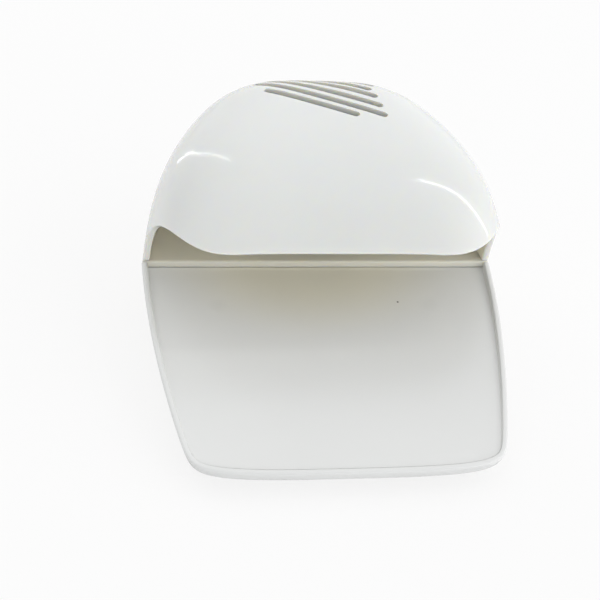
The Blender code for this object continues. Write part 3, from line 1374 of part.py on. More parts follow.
def screw_mesh(name, radius, head_radius, head_height, length, segments):
    """Pan-head screw along +Z, with its head's bearing face at the origin and a slot across the head."""
    edge = head_height / 3
    profile = [(head_radius - edge, -head_height), (head_radius, edge - head_height), (head_radius, 0),
               (radius, 0), (radius, length)]
    screw = turned(name, profile, segments)
    share = head_radius / SCREW_HEAD_RADIUS
    half = head_radius + OVERRUN
    thin = SLOT_CUT_WIDTH / 2 * share
    cut(screw, box("slot", (-half, -thin, -head_height - OVERRUN),
                   (half, thin, SLOT_CUT_DEPTH * share - head_height)))
    return screw


def place_screws(names, places, length, material, heads_up, size=None):
    """Copies of one screw; each place is where the head's bearing face lies."""
    radius, head_radius, head_height, segments = size or (SCREW_RADIUS, SCREW_HEAD_RADIUS, SCREW_HEAD_HEIGHT, 10)
    first = finish(screw_mesh(names[0], radius, head_radius, head_height, length, segments), material)
    for name, place in zip(names, places):
        made = first if name == names[0] else add_object(name, first.data)
        made.location = place
        if heads_up:
            made.rotation_euler = (math.pi, 0, 0)


def make_screws(metal):
    base_seat = BASE_BOSS_TOP - HEAD_SEAT - GAP
    places = [(x, world(back), base_seat) for x, back in base_screw_places()]
    place_screws([f"base_screw_{index}" for index in range(1, 5)], places, BASE_SCREW_LENGTH, metal, False)
    places = [(x, world(back), CEILING_HEIGHT - GAP) for x, back in liner_screw_places()]
    place_screws([f"liner_screw_{index}" for index in range(1, 5)], places, LINER_SCREW_LENGTH, metal, False)
    places = [(x, world(HOOD_SCREW_BACK), DECK_LOW - GAP) for x in (-HOOD_SCREW_X, HOOD_SCREW_X)]
    place_screws(["hood_screw_1", "hood_screw_2"], places, HOOD_SCREW_LENGTH, metal, False)
    places = [(x, y, BRACKET_LOW + BRACKET + GAP) for x, y in lug_places()]
    place_screws([f"bracket_screw_{index}" for index in range(1, 4)], places, BRACKET_SCREW_LENGTH, metal, True)
    places = [(side * MOTOR_SCREW_OFFSET, DUCT_Y, BRACKET_LOW - GAP) for side in (-1, 1)]
    size = (MOTOR_SCREW_RADIUS, MOTOR_SCREW_HEAD_RADIUS, MOTOR_SCREW_HEAD_HEIGHT, 8)
    place_screws(["motor_screw_1", "motor_screw_2"], places, MOTOR_SCREW_LENGTH, metal, False, size)


def main():
    clear_scene()
    gloss_white = make_material("gloss white plastic", (0.82, 0.83, 0.82), 0.12)
    satin_white = make_material("satin white plastic", (0.80, 0.81, 0.79), 0.35)
    inner_white = make_material("inner white plastic", (0.78, 0.78, 0.74), 0.45)
    fan_plastic = make_material("fan plastic", (0.80, 0.80, 0.80), 0.40)
    rubber = make_material("grey rubber", (0.25, 0.25, 0.25), 0.80)
    steel = make_material("bright steel", (0.62, 0.62, 0.63), 0.28, 1.0)
    zinc = make_material("zinc-plated steel", (0.70, 0.71, 0.72), 0.35, 1.0)
    brass = make_material("brass", (0.78, 0.62, 0.32), 0.35, 1.0)
    bronze = make_material("copper winding", (0.72, 0.42, 0.25), 0.40, 1.0)
    ferrite = make_material("ferrite", (0.12, 0.12, 0.13), 0.60)
    black = make_material("black plastic", (0.05, 0.05, 0.05), 0.40)
    cell_wrap = make_material("cell jacket", (0.10, 0.22, 0.45), 0.30)
    red = make_material("red wire", (0.60, 0.06, 0.05), 0.45)

    make_hood(gloss_white)
    make_chamber_liner(inner_white)
    make_fan_guard(inner_white)
    make_impeller(fan_plastic)
    make_motor(steel, black, brass, bronze, ferrite)
    make_motor_bracket(zinc)
    make_chamber_floor(satin_white)
    make_bottom_shell(satin_white)
    make_press_tray(satin_white)
    make_hinge_pins(steel)
    make_tray_springs(steel)
    make_switch(black, fan_plastic, brass)
    make_cells(cell_wrap)
    make_contacts(zinc)
    make_battery_door(satin_white)
    make_feet(rubber)
    make_leads(black, fan_plastic, red)
    make_screws(zinc)


main()
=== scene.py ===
"""Looks of a small battery fan dryer for nail polish: gloss hood, palm tray, finger chamber, fan and works.

Metres, +Z up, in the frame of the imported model: the front faces -Y, and the origin lies under the middle.
"Back" is a distance behind the seam between tray and chamber floor; ahead of the seam it is negative.
"""
import math

import bmesh
import bpy
from mathutils import Matrix, Vector

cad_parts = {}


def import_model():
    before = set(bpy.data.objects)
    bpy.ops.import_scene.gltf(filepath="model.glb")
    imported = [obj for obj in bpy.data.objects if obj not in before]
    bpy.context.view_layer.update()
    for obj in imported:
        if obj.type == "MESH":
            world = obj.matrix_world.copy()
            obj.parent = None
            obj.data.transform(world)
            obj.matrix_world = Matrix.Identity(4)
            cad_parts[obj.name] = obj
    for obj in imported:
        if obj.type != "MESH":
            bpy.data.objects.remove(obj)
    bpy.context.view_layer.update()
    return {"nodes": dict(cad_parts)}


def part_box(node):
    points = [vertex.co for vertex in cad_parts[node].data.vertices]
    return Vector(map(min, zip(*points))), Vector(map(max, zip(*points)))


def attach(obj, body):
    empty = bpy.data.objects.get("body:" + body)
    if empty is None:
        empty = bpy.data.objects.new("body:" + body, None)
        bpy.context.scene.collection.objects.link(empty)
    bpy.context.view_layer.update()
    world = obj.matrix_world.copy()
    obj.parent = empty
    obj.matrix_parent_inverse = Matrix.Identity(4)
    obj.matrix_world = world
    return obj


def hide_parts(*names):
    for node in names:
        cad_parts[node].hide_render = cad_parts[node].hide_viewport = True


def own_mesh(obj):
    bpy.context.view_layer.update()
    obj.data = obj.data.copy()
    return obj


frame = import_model()
NODES = frame["nodes"]

# Sizes of the body
WIDTH = 0.116
TRAY_REACH = 0.0835
REAR_REACH = 0.060
HOOD_TOP = 0.0662
SEAM_HEIGHT = 0.020
FRONT_HEIGHT = 0.0080
LIP_HEIGHT = 0.0465
LIP_REACH = 0.030
WALL = 0.0022
GAP = 0.0003
PAST = 0.0020
SEAM_Y = (TRAY_REACH - REAR_REACH) / 2
HOOD_FOOT = SEAM_HEIGHT + GAP
SIDES = (("left", -1), ("right", 1))

# Hood: highest and widest places, squareness of the arch, sweep of the mouth's edge
PEAK_BACK = 0.4667 * REAR_REACH
WIDEST_AHEAD = 0.0086
SIDE_LEAN_SHARE = 0.03
FRONT_SQUARENESS = 5.3
REAR_SQUARENESS = 3.1
BROW_POWER = 2.8
TAIL_POWER = 2.4
LIP_SWEEP_SHARE = 1.15
LIP_POWER = 1.4
LIP_SETBACK = 0.0016
STATION_POWER = 1.7
ACROSS = 128
ALONG = 72
LIP_ROUND = 0.0006
FOOT_ROUND = 0.0003
SHARP = math.radians(40)
FOOT_TOLERANCE = 0.00002
HOOD_POST = 0.0127
POST_SETBACK = 0.0004

# Slots: both ends as shares of half the width and of the reach behind the seam
SLOT_WIDTH = 0.0028
SLOT_DEPTH = 0.024
SLOT_ENDS = ((-0.302, 0.498, 0.156, 0.280), (-0.349, 0.602, 0.314, 0.283), (-0.310, 0.660, 0.305, 0.373),
             (-0.308, 0.735, 0.290, 0.465), (-0.314, 0.813, 0.269, 0.540), (-0.157, 0.818, 0.301, 0.611))

# Tray
RIM_WIDTH = 0.0019
SLAB = 0.0022
TRAY_STEP = 0.0023
FRONT_STEP = 0.0006
SKIRT_SEAM_HEIGHT = 0.0134
SKIRT_FRONT_HEIGHT = 0.0050
SKIRT_DRAW = 0.0012
SEAM_LIP_REACH = 0.0026
SEAM_LIP = 0.0010
SEAM_LIP_INSET = 0.0060
SEAM_NOSE = 0.0010
TRAY_GAP = 0.00015
TAPER_SHARE = 0.197
TAPER_POWER = 1.85
CORNER_POWER = 40
FRONT_POWER = 0.31
TRAY_BACK = -SEAM_NOSE - TRAY_GAP
RIM_SEAM_HEIGHT = SEAM_HEIGHT - TRAY_GAP
OUTLINE_STEPS = 64
TRAY_OVERRUN = 0.008
RIM_OUTER_ROUND = 0.0008
RIM_INNER_ROUND = 0.0004
PALM_ROUND = 0.0005
SKIRT_ROUND = 0.0005
HEIGHT_TOLERANCE = 0.00001
PLACE_TOLERANCE = 0.000002

# Works
HINGE_AHEAD = 0.0040
HINGE_HEIGHT = 0.0115
PIN_RADIUS = 0.00125
KNUCKLE_RADIUS = 0.0028
KNUCKLE_HALF = 0.0030
SWITCH_POST_RADIUS = 0.0018
SHAFT_BORE = 0.0013
SPRING_AHEAD = 0.0170
SPIGOT_RADIUS = 0.0016
SPIGOT_LENGTH = 0.0030
SWITCH_AHEAD = 0.0280
CEILING_TOP = 0.0484
DUCT_BACK = 7 / 24 * REAR_REACH
BOSS_RADIUS = 0.0032
SCREW_BORE = 0.0016


def world(back):
    """World y of a distance behind the seam."""
    return SEAM_Y + back


# Surfaces of the body

def lean(height):
    return 1 - SIDE_LEAN_SHARE * max(0, height - SEAM_HEIGHT) / (HOOD_TOP - SEAM_HEIGHT)


def top_height(back, inset):
    """Height of the hood's crest line, or of one inset under it."""
    if back < PEAK_BACK:
        run = PEAK_BACK + LIP_REACH
        share = (PEAK_BACK - back) / run
        fall = (HOOD_TOP - LIP_HEIGHT) * share ** BROW_POWER
        slope = (HOOD_TOP - LIP_HEIGHT) * BROW_POWER / run * share ** (BROW_POWER - 1)
        return HOOD_TOP - fall - inset * math.hypot(1, slope)
    share = (back - PEAK_BACK) / (REAR_REACH - inset - PEAK_BACK)
    return (HOOD_TOP - inset) * max(0, 1 - share ** TAIL_POWER) ** (1 / TAIL_POWER)


def half_width(back, inset):
    half = WIDTH / 2 - inset
    if back < -WIDEST_AHEAD:
        return half
    share = (back + WIDEST_AHEAD) / (REAR_REACH - inset + WIDEST_AHEAD)
    return half * math.sqrt(max(0, 1 - share ** 2))


def squareness(back):
    share = min(1, max(0, (back + LIP_REACH) / (REAR_REACH + LIP_REACH)))
    return FRONT_SQUARENESS + (REAR_SQUARENESS - FRONT_SQUARENESS) * share


def arch_angle(back, turn, inset):
    """Angle of a point on the arch; turn runs from 0 at the right foot to 1 at the left foot."""
    power = squareness(back)
    foot_share = min(1, HOOD_FOOT / max(HOOD_FOOT, top_height(back, inset)))
    start = math.atan2(foot_share, (1 - foot_share ** power) ** (1 / power))
    return start + (math.pi - 2 * start) * turn


def arch_point(back, turn, inset):
    """Point on the hood's arch at one station."""
    power = squareness(back)
    angle = arch_angle(back, turn, inset)
    reach = (abs(math.cos(angle)) ** power + abs(math.sin(angle)) ** power) ** (-1 / power)
    height = top_height(back, inset) * reach * math.sin(angle)
    x = half_width(back, inset) * reach * math.cos(angle) * lean(height)
    return Vector((x, world(back), height))


def crown_height(x, back, inset):
    """Height of the hood's surface over a place in plan."""
    power = squareness(back)
    height = top_height(back, inset)
    for _ in range(6):
        share = min(1, abs(x) / (half_width(back, inset) * lean(height)))
        height = top_height(back, inset) * (1 - share ** power) ** (1 / power)
    return height


def lip_back(turn):
    """Where the mouth's edge lies: at the seam at the foot, swept forward to the visor's lip."""
    back = 0
    for _ in range(8):
        slope = abs(math.tan(arch_angle(back, turn, 0))) ** (squareness(back) / 2)
        sweep = min(math.pi / 2, LIP_SWEEP_SHARE * math.atan(slope))
        back = -LIP_REACH * math.sin(sweep) ** LIP_POWER
    return back


def tail_back(inset):
    """Where the crest line comes down to the hood's foot at the rear."""
    share = (1 - (HOOD_FOOT / (HOOD_TOP - inset)) ** TAIL_POWER) ** (1 / TAIL_POWER)
    return PEAK_BACK + (REAR_REACH - inset - PEAK_BACK) * share


def tray_outline(start_back):
    """Outline of the tray, from the left side round the front to the right side."""
    left = []
    for step in range(OUTLINE_STEPS + 1):
        ease = 1 - (1 - step / OUTLINE_STEPS) ** 3
        ahead = -start_back + (TRAY_REACH + start_back) * ease
        share = max(0, ahead) / TRAY_REACH
        taper = 1 - TAPER_SHARE * share ** TAPER_POWER
        corner = max(0, 1 - share ** CORNER_POWER) ** FRONT_POWER
        left.append((-WIDTH / 2 * taper * corner, world(-ahead)))
    return left + [(-x, y) for x, y in reversed(left[:-1])]


def down_tray(y, seam, front):
    """A height that falls from the seam to the tray's front."""
    share = (world(TRAY_BACK) - y) / (TRAY_REACH + TRAY_BACK)
    return seam + (front - seam) * share


def rim_height(y):
    return down_tray(y, RIM_SEAM_HEIGHT, FRONT_HEIGHT)


def palm_height(y):
    return rim_height(y) - down_tray(y, TRAY_STEP, FRONT_STEP)


def slab_low(y):
    return palm_height(y) - SLAB


def skirt_low(y):
    return down_tray(y, SKIRT_SEAM_HEIGHT, SKIRT_FRONT_HEIGHT)


def skirt_foot(x, y):
    """Place of the skirt's foot under a place on the rim's outline, drawn in a little."""
    return x * (1 - 2 * SKIRT_DRAW / WIDTH), SEAM_Y + (y - SEAM_Y) * (1 - SKIRT_DRAW / 4 / TRAY_REACH)


# Handling of pieces

def only(piece):
    """Make one piece the active and only selected one."""
    bpy.ops.object.select_all(action="DESELECT")
    piece.select_set(True)
    bpy.context.view_layer.objects.active = piece


def start_editing(piece):
    only(piece)
    bpy.ops.object.mode_set(mode="EDIT")
    bpy.ops.mesh.select_all(action="DESELECT")


def stop_editing():
    bpy.ops.object.mode_set(mode="OBJECT")


def choose(piece, kind, test):
    """Select, in edit mode, the faces, edges or vertices that pass a test."""
    bpy.ops.mesh.select_mode(type=kind)
    bpy.ops.mesh.select_all(action="DESELECT")
    shape = bmesh.from_edit_mesh(piece.data)
    items = {"FACE": shape.faces, "EDGE": shape.edges, "VERT": shape.verts}[kind]
    chosen = [item for item in items if test(item)]
    for item in chosen:
        item.select_set(True)
    bmesh.update_edit_mesh(piece.data)
    return len(chosen)


def move_chosen(piece, place):
    """Move the selected vertices to where their x and y lead."""
    shape = bmesh.from_edit_mesh(piece.data)
    for vertex in shape.verts:
        if vertex.select:
            vertex.co.x, vertex.co.y = place(vertex.co.x, vertex.co.y)
    bmesh.update_edit_mesh(piece.data)


def lift_chosen(piece, height):
    """Set the height of the selected vertices from their y."""
    shape = bmesh.from_edit_mesh(piece.data)
    for vertex in shape.verts:
        if vertex.select:
            vertex.co.z = height(vertex.co.y)
    bmesh.update_edit_mesh(piece.data)


def apply_modifier(piece, kind, **settings):
    only(piece)
    modifier = piece.modifiers.new(kind.lower(), kind)
    for name, value in settings.items():
        setattr(modifier, name, value)
    bpy.ops.object.modifier_apply(modifier=modifier.name)


def combine(piece, other, operation):
    """Join, cut or trim one piece with another, which is used up."""
    apply_modifier(piece, "BOOLEAN", operation=operation, solver="EXACT", object=other)
    bpy.data.objects.remove(other, do_unlink=True)


def gather(pieces):
    """One object made of several."""
    only(pieces[0])
    for piece in pieces:
        piece.select_set(True)
    bpy.ops.object.join()
    return bpy.context.object


def settle(piece, name):
    """Name a new piece and put its place into its mesh."""
    only(piece)
    bpy.ops.object.transform_apply(location=True, rotation=True, scale=True)
    piece.name = name
    piece.data.name = name
    return piece


def smooth(piece, degrees=35):
    only(piece)
    bpy.ops.object.shade_smooth_by_angle(angle=math.radians(degrees))
    return piece


def paint(piece, *finishes):
    piece.data.materials.clear()
    for finish in finishes:
        piece.data.materials.append(finish)
    return piece


def fit(piece, body, slot, *nodes):
    """Ride a finished piece on its body, in place of its CAD nodes."""
    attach(piece, body)
    if nodes:
        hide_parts(*nodes)
    return piece


def rod(radius, start, end, steps=32, far_radius=None):
    """Round rod between two points, from a disc that is extruded and resized."""
    start = Vector(start)
    way = Vector(end) - start
    bpy.ops.object.select_all(action="DESELECT")
    turn = Vector((0, 0, 1)).rotation_difference(way).to_euler()
    bpy.ops.mesh.primitive_circle_add(vertices=steps, radius=radius, fill_type="NGON", location=start,
                                      rotation=turn)
    made = bpy.context.object
    bpy.ops.object.mode_set(mode="EDIT")
    bpy.ops.mesh.select_all(action="SELECT")
    bpy.ops.mesh.extrude_region_move(TRANSFORM_OT_translate={"value": way})
    if far_radius:
        share = far_radius / radius
        bpy.ops.transform.resize(value=(share, share, share), center_override=tuple(start + way))
    bpy.ops.mesh.select_all(action="SELECT")
    bpy.ops.mesh.normals_make_consistent(inside=False)
    stop_editing()
    return settle(made, "rod")


def block(low, high):
    """Square block between two corners, for joining and cutting."""
    low, high = Vector(low), Vector(high)
    bpy.ops.object.select_all(action="DESELECT")
    bpy.ops.mesh.primitive_cube_add(size=1, location=(low + high) / 2, scale=high - low)
    return settle(bpy.context.object, "block")


def turned(name, profile, steps, centre=(0, 0, 0), axis=(0, 0, 1), rounding=0.0):
    """Round piece from (radius, height) points: a disc extruded and resized from point to point."""
    bpy.ops.object.select_all(action="DESELECT")
    bpy.ops.mesh.primitive_circle_add(vertices=steps, radius=profile[0][0], fill_type="NGON",
                                      location=(0, 0, profile[0][1]))
    made = bpy.context.object
    settle(made, name)
    bpy.ops.object.mode_set(mode="EDIT")
    bpy.ops.mesh.select_all(action="SELECT")
    for (radius, height), (next_radius, next_height) in zip(profile, profile[1:]):
        bpy.ops.mesh.extrude_region_move(TRANSFORM_OT_translate={"value": (0, 0, next_height - height)})
        share = next_radius / radius
        bpy.ops.transform.resize(value=(share, share, 1), center_override=(0, 0, next_height))
    bpy.ops.mesh.select_all(action="SELECT")
    bpy.ops.mesh.normals_make_consistent(inside=False)
    if rounding:
        bpy.ops.mesh.select_mode(type="EDGE")
        bpy.ops.mesh.select_all(action="DESELECT")
        bpy.ops.mesh.edges_select_sharp(sharpness=math.radians(40))
        bpy.ops.mesh.bevel(offset=rounding, segments=3, affect="EDGES", clamp_overlap=True)
    stop_editing()
    turn = Vector((0, 0, 1)).rotation_difference(Vector(axis)).to_matrix().to_4x4()
    made.data.transform(Matrix.Translation(Vector(centre)) @ turn)
    return smooth(made)


def refined(node, rounding, segments=2, sharp=35):
    """Copy of a CAD node with merged faces, rounded edges and smooth shading."""
    piece = bpy.data.objects.new(node + "_moulded", NODES[node].data.copy())
    bpy.context.scene.collection.objects.link(piece)
    start_editing(piece)
    bpy.ops.mesh.select_all(action="SELECT")
    bpy.ops.mesh.remove_doubles(threshold=0.000001)
    bpy.ops.mesh.dissolve_limited(angle_limit=math.radians(0.6))
    stop_editing()
    if rounding:
        apply_modifier(piece, "BEVEL", width=rounding, segments=segments, limit_method="ANGLE",
                       angle_limit=math.radians(sharp), use_clamp_overlap=True, miter_outer="MITER_ARC")
        apply_modifier(piece, "WEIGHTED_NORMAL", keep_sharp=True)
    return smooth(piece, 42)


# Finishes: the painted warm shade on the palm rest by the chamber, its sink marks (bumped dents with a little painted
# shade) and speck, and the cells' printed band

# Painted shade: the oval round the middle of the seam where the palm tray's colour is warmed
PAINTED_SHADE_ACROSS = 0.052
PAINTED_SHADE_ALONG = 0.038
PAINTED_SHADE_SPOT = (-0.06, world(0.004) / PAINTED_SHADE_ALONG, 0)
SINK_SIDE = 0.034
SINK_WIDE = 0.0042
SINK_NARROW = 0.0006
SPECK_SIDE = 0.0243
SPECK_BACK = -0.0165
SPECK_WIDE = 0.00042
SPECK_NARROW = 0.00020
BAND_START = 0.0125
BAND_END = 0.0128
BAND_NEAR = 0.0206
BAND_FAR = 0.0207


class Value:
    """Something that varies over a surface; arithmetic on it adds Math nodes."""

    def __init__(self, nodes, socket):
        self.nodes = nodes
        self.socket = socket

    def maths(self, operation, first, second):
        return self.nodes.add("ShaderNodeMath", {"operation": operation}, {0: first, 1: second})

    def __add__(self, other):
        return self.maths("ADD", self, other)

    def __radd__(self, other):
        return self.maths("ADD", other, self)

    def __sub__(self, other):
        return self.maths("SUBTRACT", self, other)

    def __rsub__(self, other):
        return self.maths("SUBTRACT", other, self)

    def __mul__(self, other):
        return self.maths("MULTIPLY", self, other)

    def __rmul__(self, other):
        return self.maths("MULTIPLY", other, self)


class Nodes:
    """The nodes of a material or of the room's light."""

    def __init__(self, tree):
        self.tree = tree

    def add(self, kind, settings=None, inputs=None, out=0):
        """Any node: its settings first, then the values or links of its sockets."""
        node = self.tree.nodes.new(kind)
        for name, value in (settings or {}).items():
            setattr(node, name, value)
        for key, value in (inputs or {}).items():
            if isinstance(value, Value):
                self.tree.links.new(value.socket, node.inputs[key])
            else:
                node.inputs[key].default_value = value
        return Value(self, node.outputs[out])

    def band(self, value, low, high, start=0.0, end=1.0):
        """Smooth step of a value from start to end."""
        return self.add("ShaderNodeMapRange", {"interpolation_type": "SMOOTHSTEP"},
                        {"Value": value, "From Min": low, "From Max": high, "To Min": start, "To Max": end})

    def mix(self, share, first, second):
        return self.add("ShaderNodeMix", {"data_type": "RGBA"}, {0: share, 6: first, 7: second}, out=2)

    def blend(self, share, first, second, output):
        """Mix two shaders into the tree's output."""
        mixed = self.add("ShaderNodeMixShader", None, {0: share, 1: first, 2: second})
        self.tree.links.new(mixed.socket, self.tree.nodes[output].inputs["Surface"])


class Finish(Nodes):
    """A procedural material that is built up from its shader's constants."""

    def __init__(self, name, colour, roughness, metallic=0.0, coat=0.0, coat_roughness=0.03, ior=1.5):
        self.material = bpy.data.materials.new(name)
        self.material.use_nodes = True
        super().__init__(self.material.node_tree)
        self.shader = self.tree.nodes["Principled BSDF"]
        self.colour = (*colour, 1)
        self.set("Base Color", self.colour)
        self.set("Roughness", roughness)
        self.set("Metallic", metallic)
        self.set("Coat Weight", coat)
        self.set("Coat Roughness", coat_roughness)
        self.set("IOR", ior)
        self.place = self.add("ShaderNodeTexCoord", out="Object")

    def see_through(self, weight, depth):
        """Light that sinks into the plastic and comes out again, warmer the deeper it went."""
        self.set("Subsurface Weight", weight)
        self.set("Subsurface Scale", depth)
        self.set("Subsurface Radius", (1.0, 0.82, 0.5))

    def set(self, socket, value):
        if isinstance(value, Value):
            self.tree.links.new(value.socket, self.shader.inputs[socket])
        else:
            self.shader.inputs[socket].default_value = value

    def noise(self, scale, detail=2.0, roughness=0.5, place=None):
        return self.add("ShaderNodeTexNoise", None, {"Vector": place or self.place, "Scale": scale,
                                                     "Detail": detail, "Roughness": roughness})

    def bump(self, height, distance, strength=1.0):
        self.set("Normal", self.add("ShaderNodeBump", None, {"Height": height, "Distance": distance,
                                                             "Strength": strength}))

    def stretched(self, x, y, z):
        """Object coordinates scaled by an amount along each axis."""
        return self.add("ShaderNodeMapping", None, {"Vector": self.place, "Scale": (x, y, z)})

    def along(self, axis):
        """One object coordinate."""
        return self.add("ShaderNodeSeparateXYZ", None, {0: self.place}, out=axis)

    def away(self, spot, place=None):
        """Distance from a spot."""
        return self.add("ShaderNodeVectorMath", {"operation": "DISTANCE"}, {0: place or self.place, 1: spot},
                        out="Value")


def shade(colour, share):
    """A colour made darker or lighter by a share."""
    return tuple(min(1.0, channel * share) for channel in colour[:3]) + (1,)


def polished_plastic(name, colour):
    """Moulded white plastic with a polished skin: faint flow lines, handling haze and orange peel."""
    finish = Finish(name, colour, 0.14, coat=0.35)
    flow = finish.noise(26, 3)
    haze = finish.noise(160, 4, 0.6)
    finish.set("Base Color", finish.mix(flow, shade(colour, 0.975), shade(colour, 1.02)))
    finish.set("Roughness", 0.10 + 0.07 * haze)
    finish.bump(finish.noise(420, 2), 0.000006)
    finish.see_through(0.7, 0.002)
    return finish.material


def grained_plastic(name, colour, grain=0.000012, roughness=0.34):
    """Moulded plastic with a fine even grain and slight uneven sheen."""
    finish = Finish(name, colour, roughness)
    flow = finish.noise(30, 3)
    finish.set("Base Color", finish.mix(flow, shade(colour, 0.97), shade(colour, 1.015)))
    finish.set("Roughness", roughness - 0.05 + 0.10 * finish.noise(120, 3))
    finish.bump(finish.noise(2600, 2) + 0.4 * finish.noise(700, 2), grain)
    if max(colour) > 0.5:
        finish.see_through(0.4, 0.002)
    return finish.material


def palm_plastic(name, colour, painted_shade_colour):
    """The tray's plastic: smooth, with painted warm shade towards the chamber where the hood shades it, and two soft
    sink marks over the springs.
    """
    finish = Finish(name, colour, 0.26, coat=0.10)
    flow = finish.noise(24, 3)
    plain = finish.mix(flow, shade(colour, 0.975), shade(colour, 1.012))
    # Painted shade: a warm tint in an oval round the seam, where the hood's shade falls on the tray
    squeezed = finish.stretched(1 / PAINTED_SHADE_ACROSS, 1 / PAINTED_SHADE_ALONG, 0)
    painted_shade_share = finish.band(finish.away(PAINTED_SHADE_SPOT, squeezed), 1.0, 0.35)
    with_painted_shade = finish.mix(painted_shade_share * 0.9, plain, painted_shade_colour)
    spot_y = world(-SPRING_AHEAD)
    spot_z = palm_height(spot_y)
    left = finish.band(finish.away((-SINK_SIDE, spot_y, spot_z)), SINK_WIDE, SINK_NARROW)
    right = finish.band(finish.away((SINK_SIDE, spot_y, spot_z)), SINK_WIDE, SINK_NARROW)
    sink = left + right
    speck_y = world(SPECK_BACK)
    speck = finish.band(finish.away((SPECK_SIDE, speck_y, palm_height(speck_y))), SPECK_WIDE, SPECK_NARROW)
    # Painted shade: the sink marks' colour is darkened a little, as the shade in their dents; the dents themselves
    # come from the bump below
    with_painted_sink_shade = finish.mix(sink * 0.10, with_painted_shade, shade(colour, 0.72))
    finish.set("Base Color", finish.mix(speck, with_painted_sink_shade, (0.05, 0.045, 0.04, 1)))
    finish.set("Roughness", 0.17 + 0.08 * finish.noise(130, 3) + 0.1 * speck)
    finish.bump(finish.noise(900, 2) * 0.05 - sink, 0.00009)
    return finish.material


def drawn_metal(name, colour, roughness, scale=(300, 300, 4000)):
    """Metal with fine drawing marks and slight tarnish."""
    finish = Finish(name, colour, roughness, metallic=1.0)
    marks = finish.noise(1, 3, 0.6, finish.stretched(*scale))
    tarnish = finish.noise(220, 3)
    finish.set("Base Color", finish.mix(tarnish, shade(colour, 0.86), shade(colour, 1.05)))
    finish.set("Roughness", roughness - 0.08 + 0.16 * marks)
    finish.bump(marks, 0.000008)
    return finish.material


def rubber(name, colour):
    finish = Finish(name, colour, 0.75)
    dust = finish.noise(350, 4, 0.7)
    finish.set("Base Color", finish.mix(dust, shade(colour, 0.82), shade(colour, 1.35)))
    finish.set("Roughness", 0.66 + 0.2 * dust)
    finish.bump(finish.noise(1800, 3), 0.00003)
    return finish.material


def cell_jacket(name, colour, band):
    """Printed-film jacket of a plain cell: dark body with a light band at the nub's end."""
    finish = Finish(name, colour, 0.25, metallic=0.35, coat=0.5)
    x = finish.along(0)
    y = finish.along(1)
    near, far = world(BAND_NEAR), world(BAND_FAR)
    first = finish.band(x, BAND_START, BAND_END) * finish.band(y, far, near)
    second = finish.band(x, -BAND_START, -BAND_END) * finish.band(y, near, far)
    scuffs = finish.noise(240, 4, 0.65)
    plain = finish.mix(scuffs, shade(colour, 0.85), shade(colour, 1.2))
    finish.set("Base Color", finish.mix(first + second, plain, band))
    finish.set("Roughness", 0.18 + 0.14 * scuffs)
    return finish.material


def jacket(name, colour):
    """Soft lead insulation with slight dents."""
    finish = Finish(name, colour, 0.42)
    finish.set("Base Color", finish.mix(finish.noise(300, 3), shade(colour, 0.85), shade(colour, 1.12)))
    finish.set("Roughness", 0.36 + 0.14 * finish.noise(500, 2))
    finish.bump(finish.noise(900, 2), 0.00002)
    return finish.material


GLOSS_WHITE = polished_plastic("gloss white plastic", (0.765, 0.782, 0.772))
# Painted warm shade: a paler, warmer white than the gloss outside of the same plastic, so bounced light in the
# chamber's shade turns tan
INSIDE_SHADE_WARM_WHITE = grained_plastic("unpolished white plastic", (0.90, 0.865, 0.74), 0.000010, 0.42)
# Painted warm shade: a darker, warmer white than the palm tray's, set for the deck seen in shade inside the mouth;
# the bottom shell and battery door share it
SATIN_SHADE_WARM_WHITE = grained_plastic("satin white plastic", (0.745, 0.730, 0.650))
# The second colour is the painted warm shade on the tray near the chamber
PALM_WHITE = palm_plastic("palm tray plastic", (0.785, 0.795, 0.790), (0.81, 0.785, 0.67, 1))
FAN_WHITE = grained_plastic("fan plastic", (0.76, 0.76, 0.74), 0.000010, 0.40)
RUBBER = rubber("grey rubber", (0.21, 0.21, 0.21))
STEEL = drawn_metal("bright steel", (0.62, 0.62, 0.63), 0.28)
ZINC = drawn_metal("zinc plated steel", (0.68, 0.69, 0.70), 0.36, (900, 900, 900))
BRASS = drawn_metal("brass", (0.78, 0.62, 0.32), 0.35)
COPPER = drawn_metal("copper winding", (0.72, 0.42, 0.25), 0.40, (200, 200, 5200))
FERRITE = rubber("ferrite", (0.11, 0.11, 0.12))
BLACK = grained_plastic("black plastic", (0.045, 0.045, 0.048), 0.00002, 0.45)
CELL = cell_jacket("cell jacket", (0.08, 0.17, 0.36), (0.80, 0.82, 0.84, 1))
BLACK_JACKET = jacket("black lead jacket", (0.045, 0.045, 0.045))
WHITE_JACKET = jacket("white lead jacket", (0.76, 0.76, 0.74))
RED_JACKET = jacket("red lead jacket", (0.55, 0.06, 0.05))


# Hood

def hood_sheet(inset, setback, finish_index):
    """Grid laid over the hood's surface, or over one inset under it."""
    bpy.ops.object.select_all(action="DESELECT")
    bpy.ops.mesh.primitive_grid_add(x_subdivisions=ACROSS, y_subdivisions=ALONG, size=1)
    sheet = bpy.context.object
    paint(sheet, GLOSS_WHITE, INSIDE_SHADE_WARM_WHITE)
    end = tail_back(inset)
    edges = {}
    for vertex in sheet.data.vertices:
        turn = round(0.5 - vertex.co.x, 5)
        if turn not in edges:
            edges[turn] = lip_back(turn) * (1 - setback / LIP_REACH)
        ease = 1 - (0.5 - vertex.co.y) ** STATION_POWER if vertex.co.y < 0.4999 else 1
        vertex.co = arch_point(edges[turn] + (end - edges[turn]) * ease, turn, inset)
    for face in sheet.data.polygons:
        face.material_index = finish_index
    start_editing(sheet)
    bpy.ops.mesh.select_all(action="SELECT")
    bpy.ops.mesh.remove_doubles(threshold=0.000001)
    stop_editing()
    return sheet


